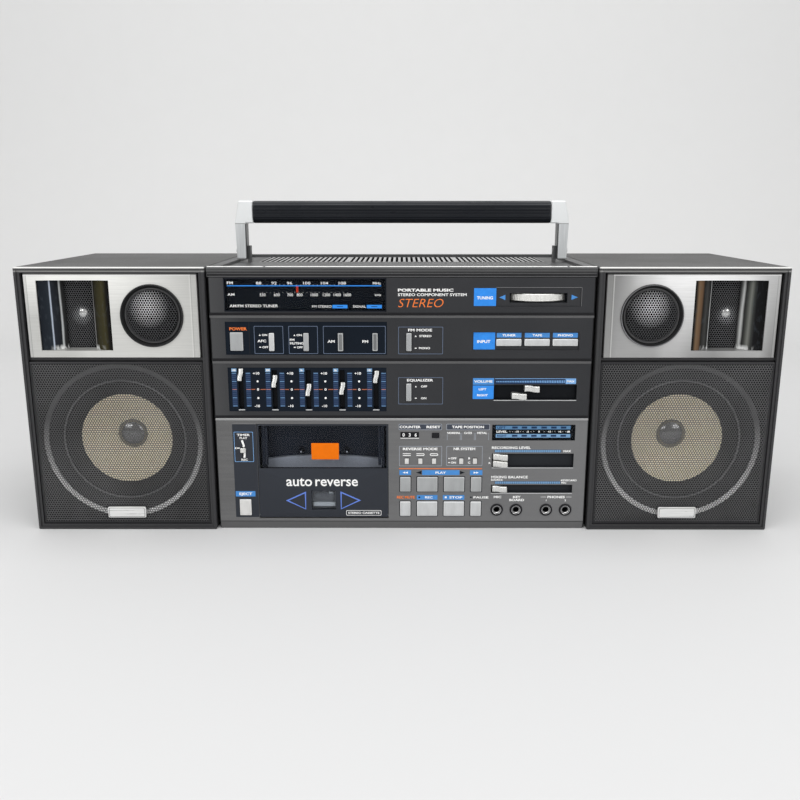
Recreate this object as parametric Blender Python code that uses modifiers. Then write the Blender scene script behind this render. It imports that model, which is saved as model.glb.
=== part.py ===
# Portable stereo: a centre unit with tuner, equalizer and cassette deck, a folding handle
# and two speakers that lift off its sides. Metres, +Z up, +X right, -Y to the front.
# The origin is in the middle of the centre unit's base.

import math

import bmesh
import bpy
from mathutils import Matrix, Vector

# Overall sizes
centre_width = 0.340
depth = 0.203
speaker_width = 0.1655
speaker_gap = 0.0015
fit_gap = 0.0003
overrun = 0.001
edge_round = 0.0008

# Front of the centre unit, from the table up
deck_height = 0.1061
equalizer_height = 0.0497
switch_height = 0.0383
tuner_height = 0.0310
band_height = 0.0086
seam_height = 0.0025
seam_depth = 0.0026
lip_round = 0.0021
chin_height = 0.0076
chin_slope = 0.0014
face_setback = 0.0026
fascia_inset = 0.0020
fascia_thickness = 0.0035

# Places on the front: shares of the unit's width across, of the panel's height up
left_column_share = -0.2485
switch_column_share = 0.0185
transport_column_share = 0.1054
right_column_share = 0.3515

# Tuner dial
dial_width = 0.1407
dial_height = 0.0277
dial_depth = 0.0080
dial_rise_share = 0.500
dial_wall = 0.0018
window_setback = 0.0006
window_thickness = 0.0016
pointer_width = 0.0018
pointer_height = 0.0060
pointer_thickness = 0.0014
pointer_rest_share = -0.054
pointer_rise_share = 0.66
guide_height = 0.0014
guide_depth = 0.0010

# Tuning wheel
wheel_radius = 0.0360
wheel_height = 0.0080
wheel_proud = 0.0025
wheel_play = 0.00035
wheel_recess_width = 0.0747
wheel_recess_height = 0.0163
wheel_recess_depth = 0.0050
wheel_recess_rise_share = 0.4387
wheel_floor = 0.0010
wheel_axle = 0.0020

# Switches above the equalizer
inset_depth = 0.0004
switch_inset_width = 0.1428
switch_inset_height = 0.0295
switch_inset_rise_share = 0.4687
power_width = 0.0112
power_height = 0.0162
power_place_shares = (-0.4294, 0.3943)
bar_width = 0.0045
bar_height = 0.0158
bar_rise_share = 0.3838
bar_pitch = 0.03048
bar_group_share = -0.2040
input_recess_width = 0.0940
input_recess_height = 0.0161
input_recess_depth = 0.0010
input_place_shares = (0.3226, 0.4073)
input_button_width = 0.0219
input_button_height = 0.0059
input_pitch = 0.0249
input_group_share = 0.3515
input_button_rise_share = 0.3760
button_proud = 0.0016
button_behind = 0.0040
button_travel = 0.0022
flange_reach = 0.0008
flange_thickness = 0.0012

# Equalizer and volume
equalizer_inset_width = 0.1416
equalizer_inset_height = 0.0402
equalizer_rise_share = 0.4789
equalizer_column_share = -0.2456
equalizer_count = 5
equalizer_pitch = 0.03025
equalizer_slot_width = 0.0046
equalizer_slot_length = 0.0356
equalizer_cap_width = 0.0052
equalizer_cap_height = 0.0115
equalizer_rest_shares = (0.86, 0.49, 0.0, 0.08, 0.74)
equalizer_switch_rise_share = 0.4306
volume_pocket_width = 0.0742
volume_pocket_height = 0.0138
volume_rise_share = 0.4286
volume_rest_shares = (-0.10, -0.48)
cap_width = 0.0138
cap_proud = 0.0025
cap_margin = 0.0002
cap_round = 0.0009
pocket_depth = 0.0040
pocket_floor = 0.0020
stem_width = 0.0014
stem_length = 0.0030
stem_behind = 0.0020

# Cassette deck
door_width = 0.1190
door_height = 0.0890
door_thickness = 0.0032
door_rise_share = 0.5254
door_column_share = -0.2115
door_bottom_gap = 0.0011
door_window_height = 0.0420
door_window_recess = 0.0008
door_pin_radius = 0.0008
door_pin_length = 0.0020
strip_width = 0.0184
strip_column_share = -0.4244
timer_rise_share = 0.716
timer_slot_length = 0.0150
timer_slot_width = 0.0018
timer_cap_width = 0.0054
timer_cap_height = 0.0060
timer_cap_proud = 0.0025
eject_width = 0.0105
eject_height = 0.0153
eject_rise_share = 0.1979
narrow_button_width = 0.0095
wide_button_width = 0.0186
transport_height = 0.0138
transport_wide_offset = 0.0123
transport_narrow_offset = 0.0325
upper_row_share = 0.4100
lower_row_share = 0.1866
counter_width = 0.0169
counter_height = 0.0054
counter_depth = 0.0012
counter_place_shares = (0.0212, 0.8520)
reset_width = 0.0061
reset_height = 0.0044
reset_place_shares = (0.0903, 0.8473)
meter_width = 0.0753
meter_height = 0.0148
meter_depth = 0.0030
meter_rise_share = 0.8728
mode_switch_width = 0.0041
mode_switch_height = 0.0060
mode_switch_depth = 0.0009
mode_nub_width = 0.0030
mode_nub_height = 0.0026
mode_nub_proud = 0.0010
mode_rise_share = 0.6225
mode_column_shares = (0.0135, 0.0501, 0.0868, 0.1597, 0.1965)
level_pocket_width = 0.0746
level_pocket_height = 0.0133
level_rise_share = 0.6239
mixing_pocket_height = 0.0079
mixing_rise_share = 0.3676
slider_stop_share = -0.98
jack_offsets = (-0.03165, -0.01385, 0.01385, 0.03165)
jack_rise_share = 0.1762
jack_bore_radius = 0.0032
ferrule_radius = 0.0053
ferrule_proud = 0.0008
jack_body_width = 0.0125
jack_body_depth = 0.0150
jack_wall = 0.0020

# Cassette mechanism behind the door
well_margin = 0.0060
well_depth = 0.0155
chassis_wall = 0.0030
mechanism_depth = 0.0240
spindle_spacing = 0.0425
spindle_drop = 0.0290
spindle_reach = 0.0085
spindle_disc_radius = 0.0075
spindle_disc_thickness = 0.0016
spindle_radius = 0.0026
spindle_shaft_radius = 0.0014
fin_length = 0.0016
fin_width = 0.0009
fin_count = 3
head_width = 0.0240
head_height = 0.0110
head_depth = 0.0100
head_rise = 0.0030

# Case of the centre unit
side_wall = 0.0060
back_wall = 0.0030
floor_thickness = 0.0030
cover_thickness = 0.0055
cover_recess = 0.0025
cover_border = 0.0100
band_groove = 0.0007
band_groove_shares = (0.36, 0.68)
vent_width = 0.0025
vent_pitch = 0.0050
vent_group_counts = (17, 21, 17)
vent_bar = 0.0028
vent_front = 0.1055
vent_rear = 0.0150
post_radius = 0.0035
board_height = 0.0080
board_thickness = 0.0016
board_margin = 0.0070
transformer_width = 0.0400
transformer_depth = 0.0360
transformer_height = 0.0330
transformer_place_share = 0.30
transformer_gap = 0.0066

# Rear of the centre unit
bay_width = 0.1900
bay_height = 0.0710
bay_depth = 0.0380
bay_wall = 0.0018
bay_rise = 0.0120
hatch_margin = 0.0020
hatch_thickness = 0.0026
inlet_width = 0.0160
inlet_height = 0.0100
inlet_depth = 0.0120
inlet_wall = 0.0020
inlet_place_shares = (0.36, 0.16)
antenna_length = 0.2000
antenna_radius = 0.0032
antenna_bore = 0.0021
antenna_rod_radius = 0.0018
antenna_tip_length = 0.0050
antenna_standoff = 0.0080
antenna_room = 0.0135
antenna_place_shares = (0.44, 0.935)
antenna_eye_radius = 0.0060
antenna_eye_thickness = 0.0050
antenna_pin_radius = 0.0020
antenna_boss_radius = 0.0040
clip_width = 0.0060
clip_wall = 0.0015
clip_share = 0.80

# Folding handle
handle_half_width = 0.1608
handle_top_taper = 0.0039
handle_foot_taper = 0.0010
arm_width = 0.0106
arm_depth = 0.0140
grip_half_length = 0.1430
grip_height = 0.0210
grip_depth = 0.0160
grip_corner = 0.0060
grip_clearance = 0.0009
handle_rise = 0.0470
knee_rise = 0.0015
core_height = 0.0080
pivot_radius = 0.0024
ear_thickness = 0.0026
ear_half_depth = 0.0045

# Speakers
rim_width = 0.0050
rim_step_width = 0.0025
rim_step_depth = 0.0012
field_depth = 0.0050
baffle_setback = 0.0090
baffle_thickness = 0.0080
speaker_wall = 0.0060
grille_height = 0.1523
grille_setback = 0.0020
grille_skin = 0.0012
plate_clearance = 0.0038
plate_side_margin = 0.0022
plate_setback = 0.0025
plate_skin = 0.0015
tray_wall = 0.0014
badge_width = 0.0350
badge_height = 0.0105
badge_proud = 0.0009
badge_rise = 0.0110
woofer_rise = 0.0830
woofer_radius = 0.0725
woofer_hole_radius = 0.0660
woofer_flange = 0.0025
cone_radius = 0.0425
cone_depth = 0.0220
surround_width = 0.0120
surround_height = 0.0022
dust_cap_radius = 0.0135
dust_cap_height = 0.0075
basket_depth = 0.0400
magnet_radius = 0.0400
magnet_depth = 0.0160
mid_offset = 0.0347
mid_rise_share = 0.50
mid_radius_share = 0.3691
mid_dome_share = 0.3007
mid_dome_height = 0.0058
mid_recess = 0.0050
mid_body_share = 0.2550
mid_body_depth = 0.0260
horn_offset = 0.0332
horn_width = 0.0634
horn_height_share = 0.8322
horn_throat_width = 0.0256
horn_depth = 0.0140
horn_wall = 0.0020
horn_driver_radius = 0.0180
horn_driver_depth = 0.0200
tongue_width = 0.0060
tongue_height = 0.0900
tongue_depth = 0.0032
tongue_bottom = 0.0600
tongue_offset = 0.0500
lift_travel = 0.0350

# Planes and levels that follow from the sizes
rim_y = -depth / 2
back_y = depth / 2
centre_back = back_y - antenna_room
face_y = rim_y + face_setback
fascia_back = face_y + fascia_thickness
shell_front = fascia_back + fit_gap
half_width = centre_width / 2
fascia_half = half_width - fascia_inset
equalizer_bottom = deck_height + seam_height
switch_bottom = equalizer_bottom + equalizer_height + seam_height
tuner_bottom = switch_bottom + switch_height + seam_height
band_bottom = tuner_bottom + tuner_height
body_height = band_bottom + band_height
cover_bottom = body_height - cover_thickness
deck_level = body_height - cover_recess
shell_top = cover_bottom - fit_gap
speaker_x = half_width + speaker_gap + speaker_width / 2
baffle_y = rim_y + baffle_setback
plate_top = body_height - rim_width - fit_gap
grille_bottom = rim_width + fit_gap
grille_top = grille_bottom + grille_height
plate_bottom = grille_top + plate_clearance
plate_centre = (plate_top + plate_bottom) / 2
plate_height = plate_top - plate_bottom
mid_radius = mid_radius_share * plate_height
mid_dome_radius = mid_dome_share * plate_height
mid_body_radius = mid_body_share * plate_height
horn_height = horn_height_share * plate_height
left_x = left_column_share * centre_width
right_x = right_column_share * centre_width
switch_x = switch_column_share * centre_width
transport_x = transport_column_share * centre_width
door_x = door_column_share * centre_width
door_low = door_rise_share * deck_height - door_height / 2
door_high = door_low + door_height
door_axis_y = face_y + fascia_thickness / 2
door_axis_z = door_low + door_thickness / 2
well_front = face_y + max(fascia_thickness, door_thickness) + fit_gap
well_back = well_front + well_depth
well_half = door_width / 2 - well_margin
spindle_z = door_high - spindle_drop
pivot_z = body_height + grip_depth / 2 + grip_clearance
handle_top = pivot_z + handle_rise
knee_z = handle_top - grip_height
level_pocket_z = level_rise_share * deck_height
mixing_z = mixing_rise_share * deck_height
volume_z = equalizer_bottom + volume_rise_share * equalizer_height
jack_z = jack_rise_share * deck_height
antenna_x = antenna_place_shares[0] * centre_width
antenna_z = antenna_place_shares[1] * body_height
antenna_y = centre_back + antenna_standoff
bay_front = centre_back - back_wall - fit_gap - bay_depth - bay_wall
lane_offset_share = 0.25


for leftover in list(bpy.data.objects):
    bpy.data.objects.remove(leftover, do_unlink=True)

parts = bpy.data.collections.new("portable_stereo")
cutters = bpy.data.collections.new("cutters")
bpy.context.scene.collection.children.link(parts)
bpy.context.scene.collection.children.link(cutters)

front_turn = (math.pi / 2, 0, 0)
side_turn = (math.pi / 2, 0, math.pi / 2)


# Modelling helpers
def link(name, mesh, group, location=(0, 0, 0)):
    piece = bpy.data.objects.new(name, mesh)
    piece.location = location
    group.objects.link(piece)
    if group is cutters:
        piece.hide_render = True
        piece.display_type = "WIRE"
    return piece


def boxes(name, spans, group=cutters):
    # Each span is (low corner, high corner); the boxes share one mesh.
    mesh = bpy.data.meshes.new(name)
    sketch = bmesh.new()
    for low, high in spans:
        size = Vector(high) - Vector(low)
        centre = (Vector(high) + Vector(low)) / 2
        place = Matrix.Translation(centre) @ Matrix.Diagonal((*size, 1.0))
        bmesh.ops.create_cube(sketch, size=1.0, matrix=place)
    sketch.to_mesh(mesh)
    sketch.free()
    return link(name, mesh, group)


def box(name, low, high, group=parts):
    centre = (Vector(high) + Vector(low)) / 2
    piece = boxes(name, [(Vector(low) - centre, Vector(high) - centre)], group)
    piece.location = centre
    return piece


def rod(name, radius, start, end, group=cutters, steps=24):
    mesh = bpy.data.meshes.new(name)
    sketch = bmesh.new()
    run = Vector(end) - Vector(start)
    bmesh.ops.create_cone(
        sketch, cap_ends=True, segments=steps, radius1=radius, radius2=radius, depth=run.length
    )
    sketch.to_mesh(mesh)
    sketch.free()
    mesh.shade_smooth()
    mesh.set_sharp_from_angle(angle=math.radians(40))
    piece = link(name, mesh, group, (Vector(start) + Vector(end)) / 2)
    piece.rotation_euler = run.to_track_quat("Z", "Y").to_euler()
    return piece


def rods(name, radius, runs, steps=20):
    # Parallel rods along Y in one cutter mesh; each run is (x, z, start y, end y).
    mesh = bpy.data.meshes.new(name)
    sketch = bmesh.new()
    for x, z, start, end in runs:
        place = Matrix.Translation((x, (start + end) / 2, z)) @ Matrix.Rotation(math.pi / 2, 4, "X")
        bmesh.ops.create_cone(
            sketch, cap_ends=True, segments=steps, radius1=radius, radius2=radius,
            depth=abs(end - start), matrix=place,
        )
    sketch.to_mesh(mesh)
    sketch.free()
    return link(name, mesh, cutters)


def prism(name, points, low, high, turn, group=parts, sharp=30):
    # A flat outline extruded from low to high along the turned local Z axis.
    curve = bpy.data.curves.new(name, "CURVE")
    curve.dimensions = "2D"
    curve.fill_mode = "BOTH"
    curve.extrude = (high - low) / 2
    spline = curve.splines.new("POLY")
    spline.points.add(len(points) - 1)
    for point, (across, up) in zip(spline.points, points):
        point.co = (across, up, 0, 1)
    spline.use_cyclic_u = True
    outline = bpy.data.objects.new(name + "_outline", curve)
    outline.rotation_euler = turn
    axis = outline.rotation_euler.to_matrix() @ Vector((0, 0, 1))
    outline.location = axis * (low + high) / 2
    group.objects.link(outline)
    bpy.context.view_layer.update()
    mesh = bpy.data.meshes.new_from_object(outline.evaluated_get(bpy.context.evaluated_depsgraph_get()))
    mesh.name = name
    sketch = bmesh.new()
    sketch.from_mesh(mesh)
    bmesh.ops.remove_doubles(sketch, verts=sketch.verts, dist=edge_round / 100)
    bmesh.ops.recalc_face_normals(sketch, faces=sketch.faces)
    sketch.to_mesh(mesh)
    sketch.free()
    mesh.shade_smooth()
    mesh.set_sharp_from_angle(angle=math.radians(sharp))
    piece = link(name, mesh, group)
    piece.matrix_world = outline.matrix_world.copy()
    bpy.data.objects.remove(outline, do_unlink=True)
    return piece


def turned(name, profile, centre, turn, steps, group=parts, closed=False):
    # The profile is (radius, height) down the outer side; local Z is the axis.
    mesh = bpy.data.meshes.new(name)
    points = [(radius, 0, height) for radius, height in profile]
    edges = [(n, n + 1) for n in range(len(points) - 1)]
    if closed:
        edges.append((len(points) - 1, 0))
    mesh.from_pydata(points, edges, [])
    piece = link(name, mesh, group, centre)
    piece.rotation_euler = turn
    screw = piece.modifiers.new("turn", "SCREW")
    screw.axis = "Z"
    screw.steps = steps
    screw.render_steps = steps
    screw.use_merge_vertices = True
    screw.merge_threshold = 0.00001
    return piece


def bevel(piece, width, segments=1):
    rounding = piece.modifiers.new("round", "BEVEL")
    rounding.width = width
    rounding.segments = segments
    rounding.limit_method = "ANGLE"
    rounding.angle_limit = math.radians(40)
    return piece


def combine(piece, other, operation):
    boolean = piece.modifiers.new(other.name, "BOOLEAN")
    boolean.operation = operation
    boolean.object = other
    boolean.solver = "EXACT"
    return piece


def cut(piece, *others):
    for other in others:
        combine(piece, other, "DIFFERENCE")
    return piece


def join(piece, *others):
    for other in others:
        combine(piece, other, "UNION")
    return piece


def paint(piece, name, colour, roughness, metallic=0.0):
    material = bpy.data.materials.get(name)
    if material is None:
        material = bpy.data.materials.new(name)
        material.use_nodes = True
        surface = material.node_tree.nodes["Principled BSDF"]
        surface.inputs["Base Color"].default_value = (*colour, 1.0)
        surface.inputs["Roughness"].default_value = roughness
        surface.inputs["Metallic"].default_value = metallic
        material.diffuse_color = (*colour, 1.0)
    piece.data.materials.clear()
    piece.data.materials.append(material)
    return piece


def pivot(name, location):
    empty = bpy.data.objects.new(name, None)
    empty.location = location
    parts.objects.link(empty)
    return empty


def hang(piece, carrier):
    piece.parent = carrier
    piece.location = Vector(piece.location) - Vector(carrier.location)
    return piece


def charcoal(piece):
    return paint(piece, "charcoal_plastic", (0.045, 0.046, 0.050), 0.45)


def black(piece):
    return paint(piece, "black_plastic", (0.012, 0.012, 0.013), 0.40)


def button_grey(piece):
    return paint(piece, "button_plastic", (0.52, 0.51, 0.48), 0.40)


def face_span(x, z, width, height, front, back):
    # A box on the front, by its centre and size in the face and its two depths.
    return (x - width / 2, front, z - height / 2), (x + width / 2, back, z + height / 2)


def lip(top, radius):
    # The rounded top edge of a front panel, as (y, z) points from its top to its face.
    arc = []
    for step in range(4):
        angle = math.pi / 2 + step * math.pi / 6
        arc.append((face_y + radius + radius * math.cos(angle), top - radius + radius * math.sin(angle)))
    return arc


def place(x_share, z_share, bottom, height):
    return x_share * centre_width, bottom + z_share * height


# Places that both a panel and its controls use
power_x, power_z = place(*power_place_shares, switch_bottom, switch_height)
bar_z = switch_bottom + bar_rise_share * switch_height
bar_group_x = bar_group_share * centre_width
bar_xs = [bar_group_x + (n - 1.5) * bar_pitch for n in range(4)]
input_x, input_z = place(*input_place_shares, switch_bottom, switch_height)
input_group_x = input_group_share * centre_width
input_xs = [input_group_x + (n - 1) * input_pitch for n in range(3)]
input_button_z = switch_bottom + input_button_rise_share * switch_height
equalizer_z = equalizer_bottom + equalizer_rise_share * equalizer_height
equalizer_middle = (equalizer_count - 1) / 2
equalizer_x = equalizer_column_share * centre_width
equalizer_xs = [equalizer_x + (n - equalizer_middle) * equalizer_pitch for n in range(equalizer_count)]
equalizer_switch_z = equalizer_bottom + equalizer_switch_rise_share * equalizer_height
dial_z = tuner_bottom + dial_rise_share * tuner_height
pointer_z = dial_z + (pointer_rise_share - 0.5) * dial_height
wheel_z = tuner_bottom + wheel_recess_rise_share * tuner_height
wheel_y = face_y - wheel_proud + wheel_radius
wheel_floor_back = face_y + wheel_recess_depth + wheel_floor
wheel_chord = math.sqrt(wheel_radius ** 2 - (wheel_y - wheel_floor_back) ** 2)
wheel_slot_half = wheel_chord + 2 * fit_gap
door_left = door_x - door_width / 2
strip_x = strip_column_share * centre_width
timer_z = timer_rise_share * deck_height
eject_z = eject_rise_share * deck_height
reset_x, reset_z = place(*reset_place_shares, 0, deck_height)
counter_x, counter_z = place(*counter_place_shares, 0, deck_height)
meter_z = meter_rise_share * deck_height
mode_z = mode_rise_share * deck_height
mode_xs = [share * centre_width for share in mode_column_shares]
upper_row_z = upper_row_share * deck_height
lower_row_z = lower_row_share * deck_height
transport_offsets = (
    -transport_narrow_offset, -transport_wide_offset, transport_wide_offset, transport_narrow_offset
)
transport_widths = (
    narrow_button_width, wide_button_width, wide_button_width, narrow_button_width
)
transport_xs = [transport_x + offset for offset in transport_offsets]
jack_xs = [right_x + offset for offset in jack_offsets]
pocket_back = face_y + pocket_depth
boss_back = pocket_back + pocket_floor


def lanes(z, pocket_height):
    shift = pocket_height * lane_offset_share
    return z + shift, z - shift


def lane_height(pocket_height, count=2):
    return pocket_height / count - 2 * cap_margin


volume_lanes = lanes(volume_z, volume_pocket_height)
level_lanes = lanes(level_pocket_z, level_pocket_height)
slider_run = (level_pocket_width - cap_width) / 2 - cap_margin
volume_run = (volume_pocket_width - cap_width) / 2 - cap_margin
equalizer_run = (equalizer_slot_length - stem_length) / 2 - fit_gap


# Front of the centre unit
def through_hole(x, z, width, height):
    return face_span(
        x, z, width + 2 * fit_gap, height + 2 * fit_gap, face_y - overrun, fascia_back + overrun
    )


def slider_slot(x, z, length, from_y, to_y):
    return face_span(x, z, length, stem_width + 2 * fit_gap, from_y, to_y)


def upper_fascia():
    outline = [(fascia_back, band_bottom - fit_gap), (fascia_back, deck_height + fit_gap)]
    outline.append((face_y + seam_depth, deck_height + fit_gap))
    outline.append((face_y + seam_depth, equalizer_bottom))
    tops = (equalizer_bottom + equalizer_height, switch_bottom + switch_height)
    bottoms = (equalizer_bottom, switch_bottom)
    for bottom, top in zip(bottoms, tops):
        outline.append((face_y, bottom))
        outline.extend(reversed(lip(top, lip_round)))
        outline.append((face_y + seam_depth, top))
        outline.append((face_y + seam_depth, top + seam_height))
    outline.append((face_y, tuner_bottom))
    outline.extend(reversed(lip(band_bottom - fit_gap, lip_round / 3)))
    fascia = prism("upper_fascia", outline, -fascia_half, fascia_half, side_turn)
    half_plate = face_y + fascia_thickness / 2
    boss_width = dial_width + 2 * dial_wall
    boss_height = min(dial_height + 2 * dial_wall, tuner_height) - 4 * fit_gap
    dial_back = face_y + dial_depth + guide_depth + dial_wall
    join(fascia, boxes("fascia_bosses", [
        face_span(left_x, dial_z, boss_width, boss_height, half_plate, dial_back),
        face_span(
            right_x, wheel_z, wheel_recess_width + 2 * dial_wall,
            wheel_recess_height + 2 * dial_wall, half_plate, wheel_floor_back
        ),
        face_span(
            right_x, volume_z, volume_pocket_width + 2 * dial_wall,
            volume_pocket_height + 2 * dial_wall, half_plate, boss_back
        ),
    ]))
    front = face_y - overrun
    switch_inset_z = switch_bottom + switch_inset_rise_share * switch_height
    inset_back = face_y + inset_depth
    cut(fascia, boxes("fascia_insets", [
        face_span(left_x, switch_inset_z, switch_inset_width, switch_inset_height, front, inset_back),
        face_span(left_x, equalizer_z, equalizer_inset_width, equalizer_inset_height, front, inset_back),
        face_span(left_x, dial_z, dial_width, dial_height, front, face_y + dial_depth),
        face_span(
            right_x, wheel_z, wheel_recess_width, wheel_recess_height, front,
            face_y + wheel_recess_depth
        ),
        face_span(
            input_x, input_z, input_recess_width, input_recess_height, front,
            face_y + input_recess_depth
        ),
        face_span(right_x, volume_z, volume_pocket_width, volume_pocket_height, front, pocket_back),
    ]))
    holes = [through_hole(power_x, power_z, power_width, power_height)]
    for x in bar_xs:
        holes.append(through_hole(x, bar_z, bar_width, bar_height))
    holes.append(through_hole(switch_x, bar_z, bar_width, bar_height))
    holes.append(through_hole(switch_x, equalizer_switch_z, bar_width, bar_height))
    for x in input_xs:
        holes.append(through_hole(x, input_button_z, input_button_width, input_button_height))
    for x in equalizer_xs:
        holes.append(face_span(
            x, equalizer_z, equalizer_slot_width, equalizer_slot_length, front, fascia_back + overrun
        ))
    holes.append(face_span(
        right_x, wheel_z, 2 * wheel_slot_half, wheel_height + 2 * wheel_play, front,
        wheel_floor_back + overrun
    ))
    for z in volume_lanes:
        holes.append(slider_slot(right_x, z, 2 * volume_run + stem_length + 2 * fit_gap,
                                 pocket_back - overrun, boss_back + overrun))
    holes.append(face_span(
        left_x, pointer_z, dial_width - 2 * dial_wall, guide_height + 2 * fit_gap,
        face_y + dial_depth - overrun, face_y + dial_depth + guide_depth
    ))
    cut(fascia, boxes("fascia_holes", holes))
    return charcoal(fascia)


def deck_fascia():
    outline = [(fascia_back, 0), (face_y + chin_slope, 0), (face_y, chin_height)]
    outline.extend(reversed(lip(deck_height, lip_round)))
    outline.append((fascia_back, deck_height))
    fascia = prism("deck_fascia", outline, -fascia_half, fascia_half, side_turn)
    half_plate = face_y + fascia_thickness / 2
    boss_top = meter_z + meter_height / 2 + dial_wall
    boss_bottom = mixing_z - mixing_pocket_height / 2 - dial_wall
    boss_half = max(level_pocket_width, meter_width) / 2 + dial_wall
    join(fascia, boxes("deck_boss", [
        ((right_x - boss_half, half_plate, boss_bottom), (right_x + boss_half, boss_back, boss_top)),
    ]))
    join(fascia, rods("ferrules", ferrule_radius, [
        (x, jack_z, half_plate, face_y - ferrule_proud) for x in jack_xs
    ]))
    front = face_y - overrun
    insets = [
        face_span(strip_x, (door_low + door_high) / 2, strip_width, door_height, front,
                  face_y + inset_depth),
        face_span(right_x, meter_z, meter_width, meter_height, front, face_y + meter_depth),
        face_span(
            right_x, level_pocket_z, level_pocket_width, level_pocket_height, front, pocket_back
        ),
        face_span(right_x, mixing_z, level_pocket_width, mixing_pocket_height, front, pocket_back),
        face_span(counter_x, counter_z, counter_width, counter_height, front, face_y + counter_depth),
    ]
    for x in mode_xs:
        insets.append(face_span(
            x, mode_z, mode_switch_width, mode_switch_height, front, face_y + mode_switch_depth
        ))
    cut(fascia, boxes("deck_insets", insets))
    nub_back = face_y + fascia_thickness / 2
    join(fascia, boxes("mode_nubs", [
        face_span(
            x, mode_z - mode_nub_height / 4, mode_nub_width, mode_nub_height,
            face_y - mode_nub_proud, nub_back
        ) for x in mode_xs
    ]))
    gap = fit_gap
    holes = [
        (
            (door_left - gap, front, door_low - door_bottom_gap),
            (door_left + door_width + gap, fascia_back + overrun, door_high + gap)
        ),
        through_hole(strip_x, eject_z, eject_width, eject_height),
        face_span(
            strip_x, timer_z, timer_slot_width, timer_slot_length, front, fascia_back + overrun
        ),
        through_hole(reset_x, reset_z, reset_width, reset_height),
    ]
    for row_z in (upper_row_z, lower_row_z):
        for x, width in zip(transport_xs, transport_widths):
            holes.append(through_hole(x, row_z, width, transport_height))
    run = 2 * slider_run + stem_length + 2 * fit_gap
    for z in (*level_lanes, mixing_z):
        holes.append(slider_slot(right_x, z, run, pocket_back - overrun, boss_back + overrun))
    cut(fascia, boxes("deck_holes", holes))
    cut(fascia, rods("jack_holes", jack_bore_radius, [
        (x, jack_z, fascia_back + overrun, face_y - ferrule_proud - overrun) for x in jack_xs
    ]))
    reach = door_pin_length + fit_gap
    cut(fascia, rod(
        "door_pin_holes", door_pin_radius + fit_gap,
        (door_left - gap - reach, door_axis_y, door_axis_z),
        (door_left + door_width + gap + reach, door_axis_y, door_axis_z), steps=12
    ))
    return paint(fascia, "deck_metal", (0.115, 0.115, 0.118), 0.38, 0.55)


# Clear windows
def dial_window():
    front = face_y + window_setback
    width = dial_width - 2 * fit_gap
    height = dial_height - 2 * fit_gap
    low, high = face_span(left_x, dial_z, width, height, front, front + window_thickness)
    return paint(box("dial_window", low, high), "dial_glass", (0.01, 0.01, 0.012), 0.08)


def meter_window():
    front = face_y + window_setback
    width = meter_width - 2 * fit_gap
    height = meter_height - 2 * fit_gap
    low, high = face_span(
        right_x, meter_z, width, height, front, face_y + meter_depth - fit_gap
    )
    return paint(box("meter_window", low, high), "meter_glass", (0.01, 0.012, 0.02), 0.08)


# Controls
def push_button(name, x, z, width, height, pressed=0.0):
    front = face_y - button_proud + pressed
    back = fascia_back + button_behind + pressed
    low, high = face_span(x, z, width, height, front, back)
    button = bevel(box(name, low, high), edge_round / 2)
    flange_front = fascia_back + fit_gap + pressed
    flange = face_span(
        x, z, width + 2 * flange_reach, height + 2 * flange_reach, flange_front,
        flange_front + flange_thickness
    )
    join(button, boxes(name + "_flange", [flange]))
    return button_grey(button)


def upper_buttons():
    push_button("power_button", power_x, power_z, power_width, power_height)
    names = ("afc_button", "fm_muting_button", "am_button", "fm_button")
    for name, x in zip(names, bar_xs):
        pressed = button_travel / 2 if name == "fm_button" else 0.0
        push_button(name, x, bar_z, bar_width, bar_height, pressed)
    push_button("fm_mode_button", switch_x, bar_z, bar_width, bar_height)
    push_button("equalizer_button", switch_x, equalizer_switch_z, bar_width, bar_height)
    for name, x in zip(("tuner_button", "tape_button", "phono_button"), input_xs):
        push_button(name, x, input_button_z, input_button_width, input_button_height)


def deck_buttons():
    push_button("eject_button", strip_x, eject_z, eject_width, eject_height)
    push_button("counter_reset_button", reset_x, reset_z, reset_width, reset_height)
    rows = {
        upper_row_z: ("rewind_button", "reverse_play_button", "forward_play_button",
                      "fast_forward_button"),
        lower_row_z: ("record_mute_button", "record_button", "stop_button", "pause_button"),
    }
    for row_z, names in rows.items():
        for name, x, width in zip(names, transport_xs, transport_widths):
            push_button(name, x, row_z, width, transport_height)


def slider(name, x, z, cap_size, floor_y, stem_size, stem_back):
    # A moulded cap with its stem running through the slot behind it.
    width, height = cap_size
    stem_across, stem_up = stem_size
    low, high = face_span(x, z, width, height, face_y - cap_proud, floor_y - fit_gap)
    cap = bevel(box(name, low, high), cap_round)
    stem = face_span(x, z, stem_across, stem_up, floor_y - cap_round - 2 * fit_gap, stem_back)
    join(cap, boxes(name + "_stem", [stem]))
    return paint(cap, "slider_metal", (0.62, 0.62, 0.61), 0.30, 0.7)


def equalizer_sliders():
    for n, (x, share) in enumerate(zip(equalizer_xs, equalizer_rest_shares)):
        z = equalizer_z + share * equalizer_run
        slider(
            f"equalizer_slider_{n + 1}", x, z, (equalizer_cap_width, equalizer_cap_height),
            face_y, (equalizer_slot_width - 2 * fit_gap, stem_length), fascia_back + stem_behind
        )


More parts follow.
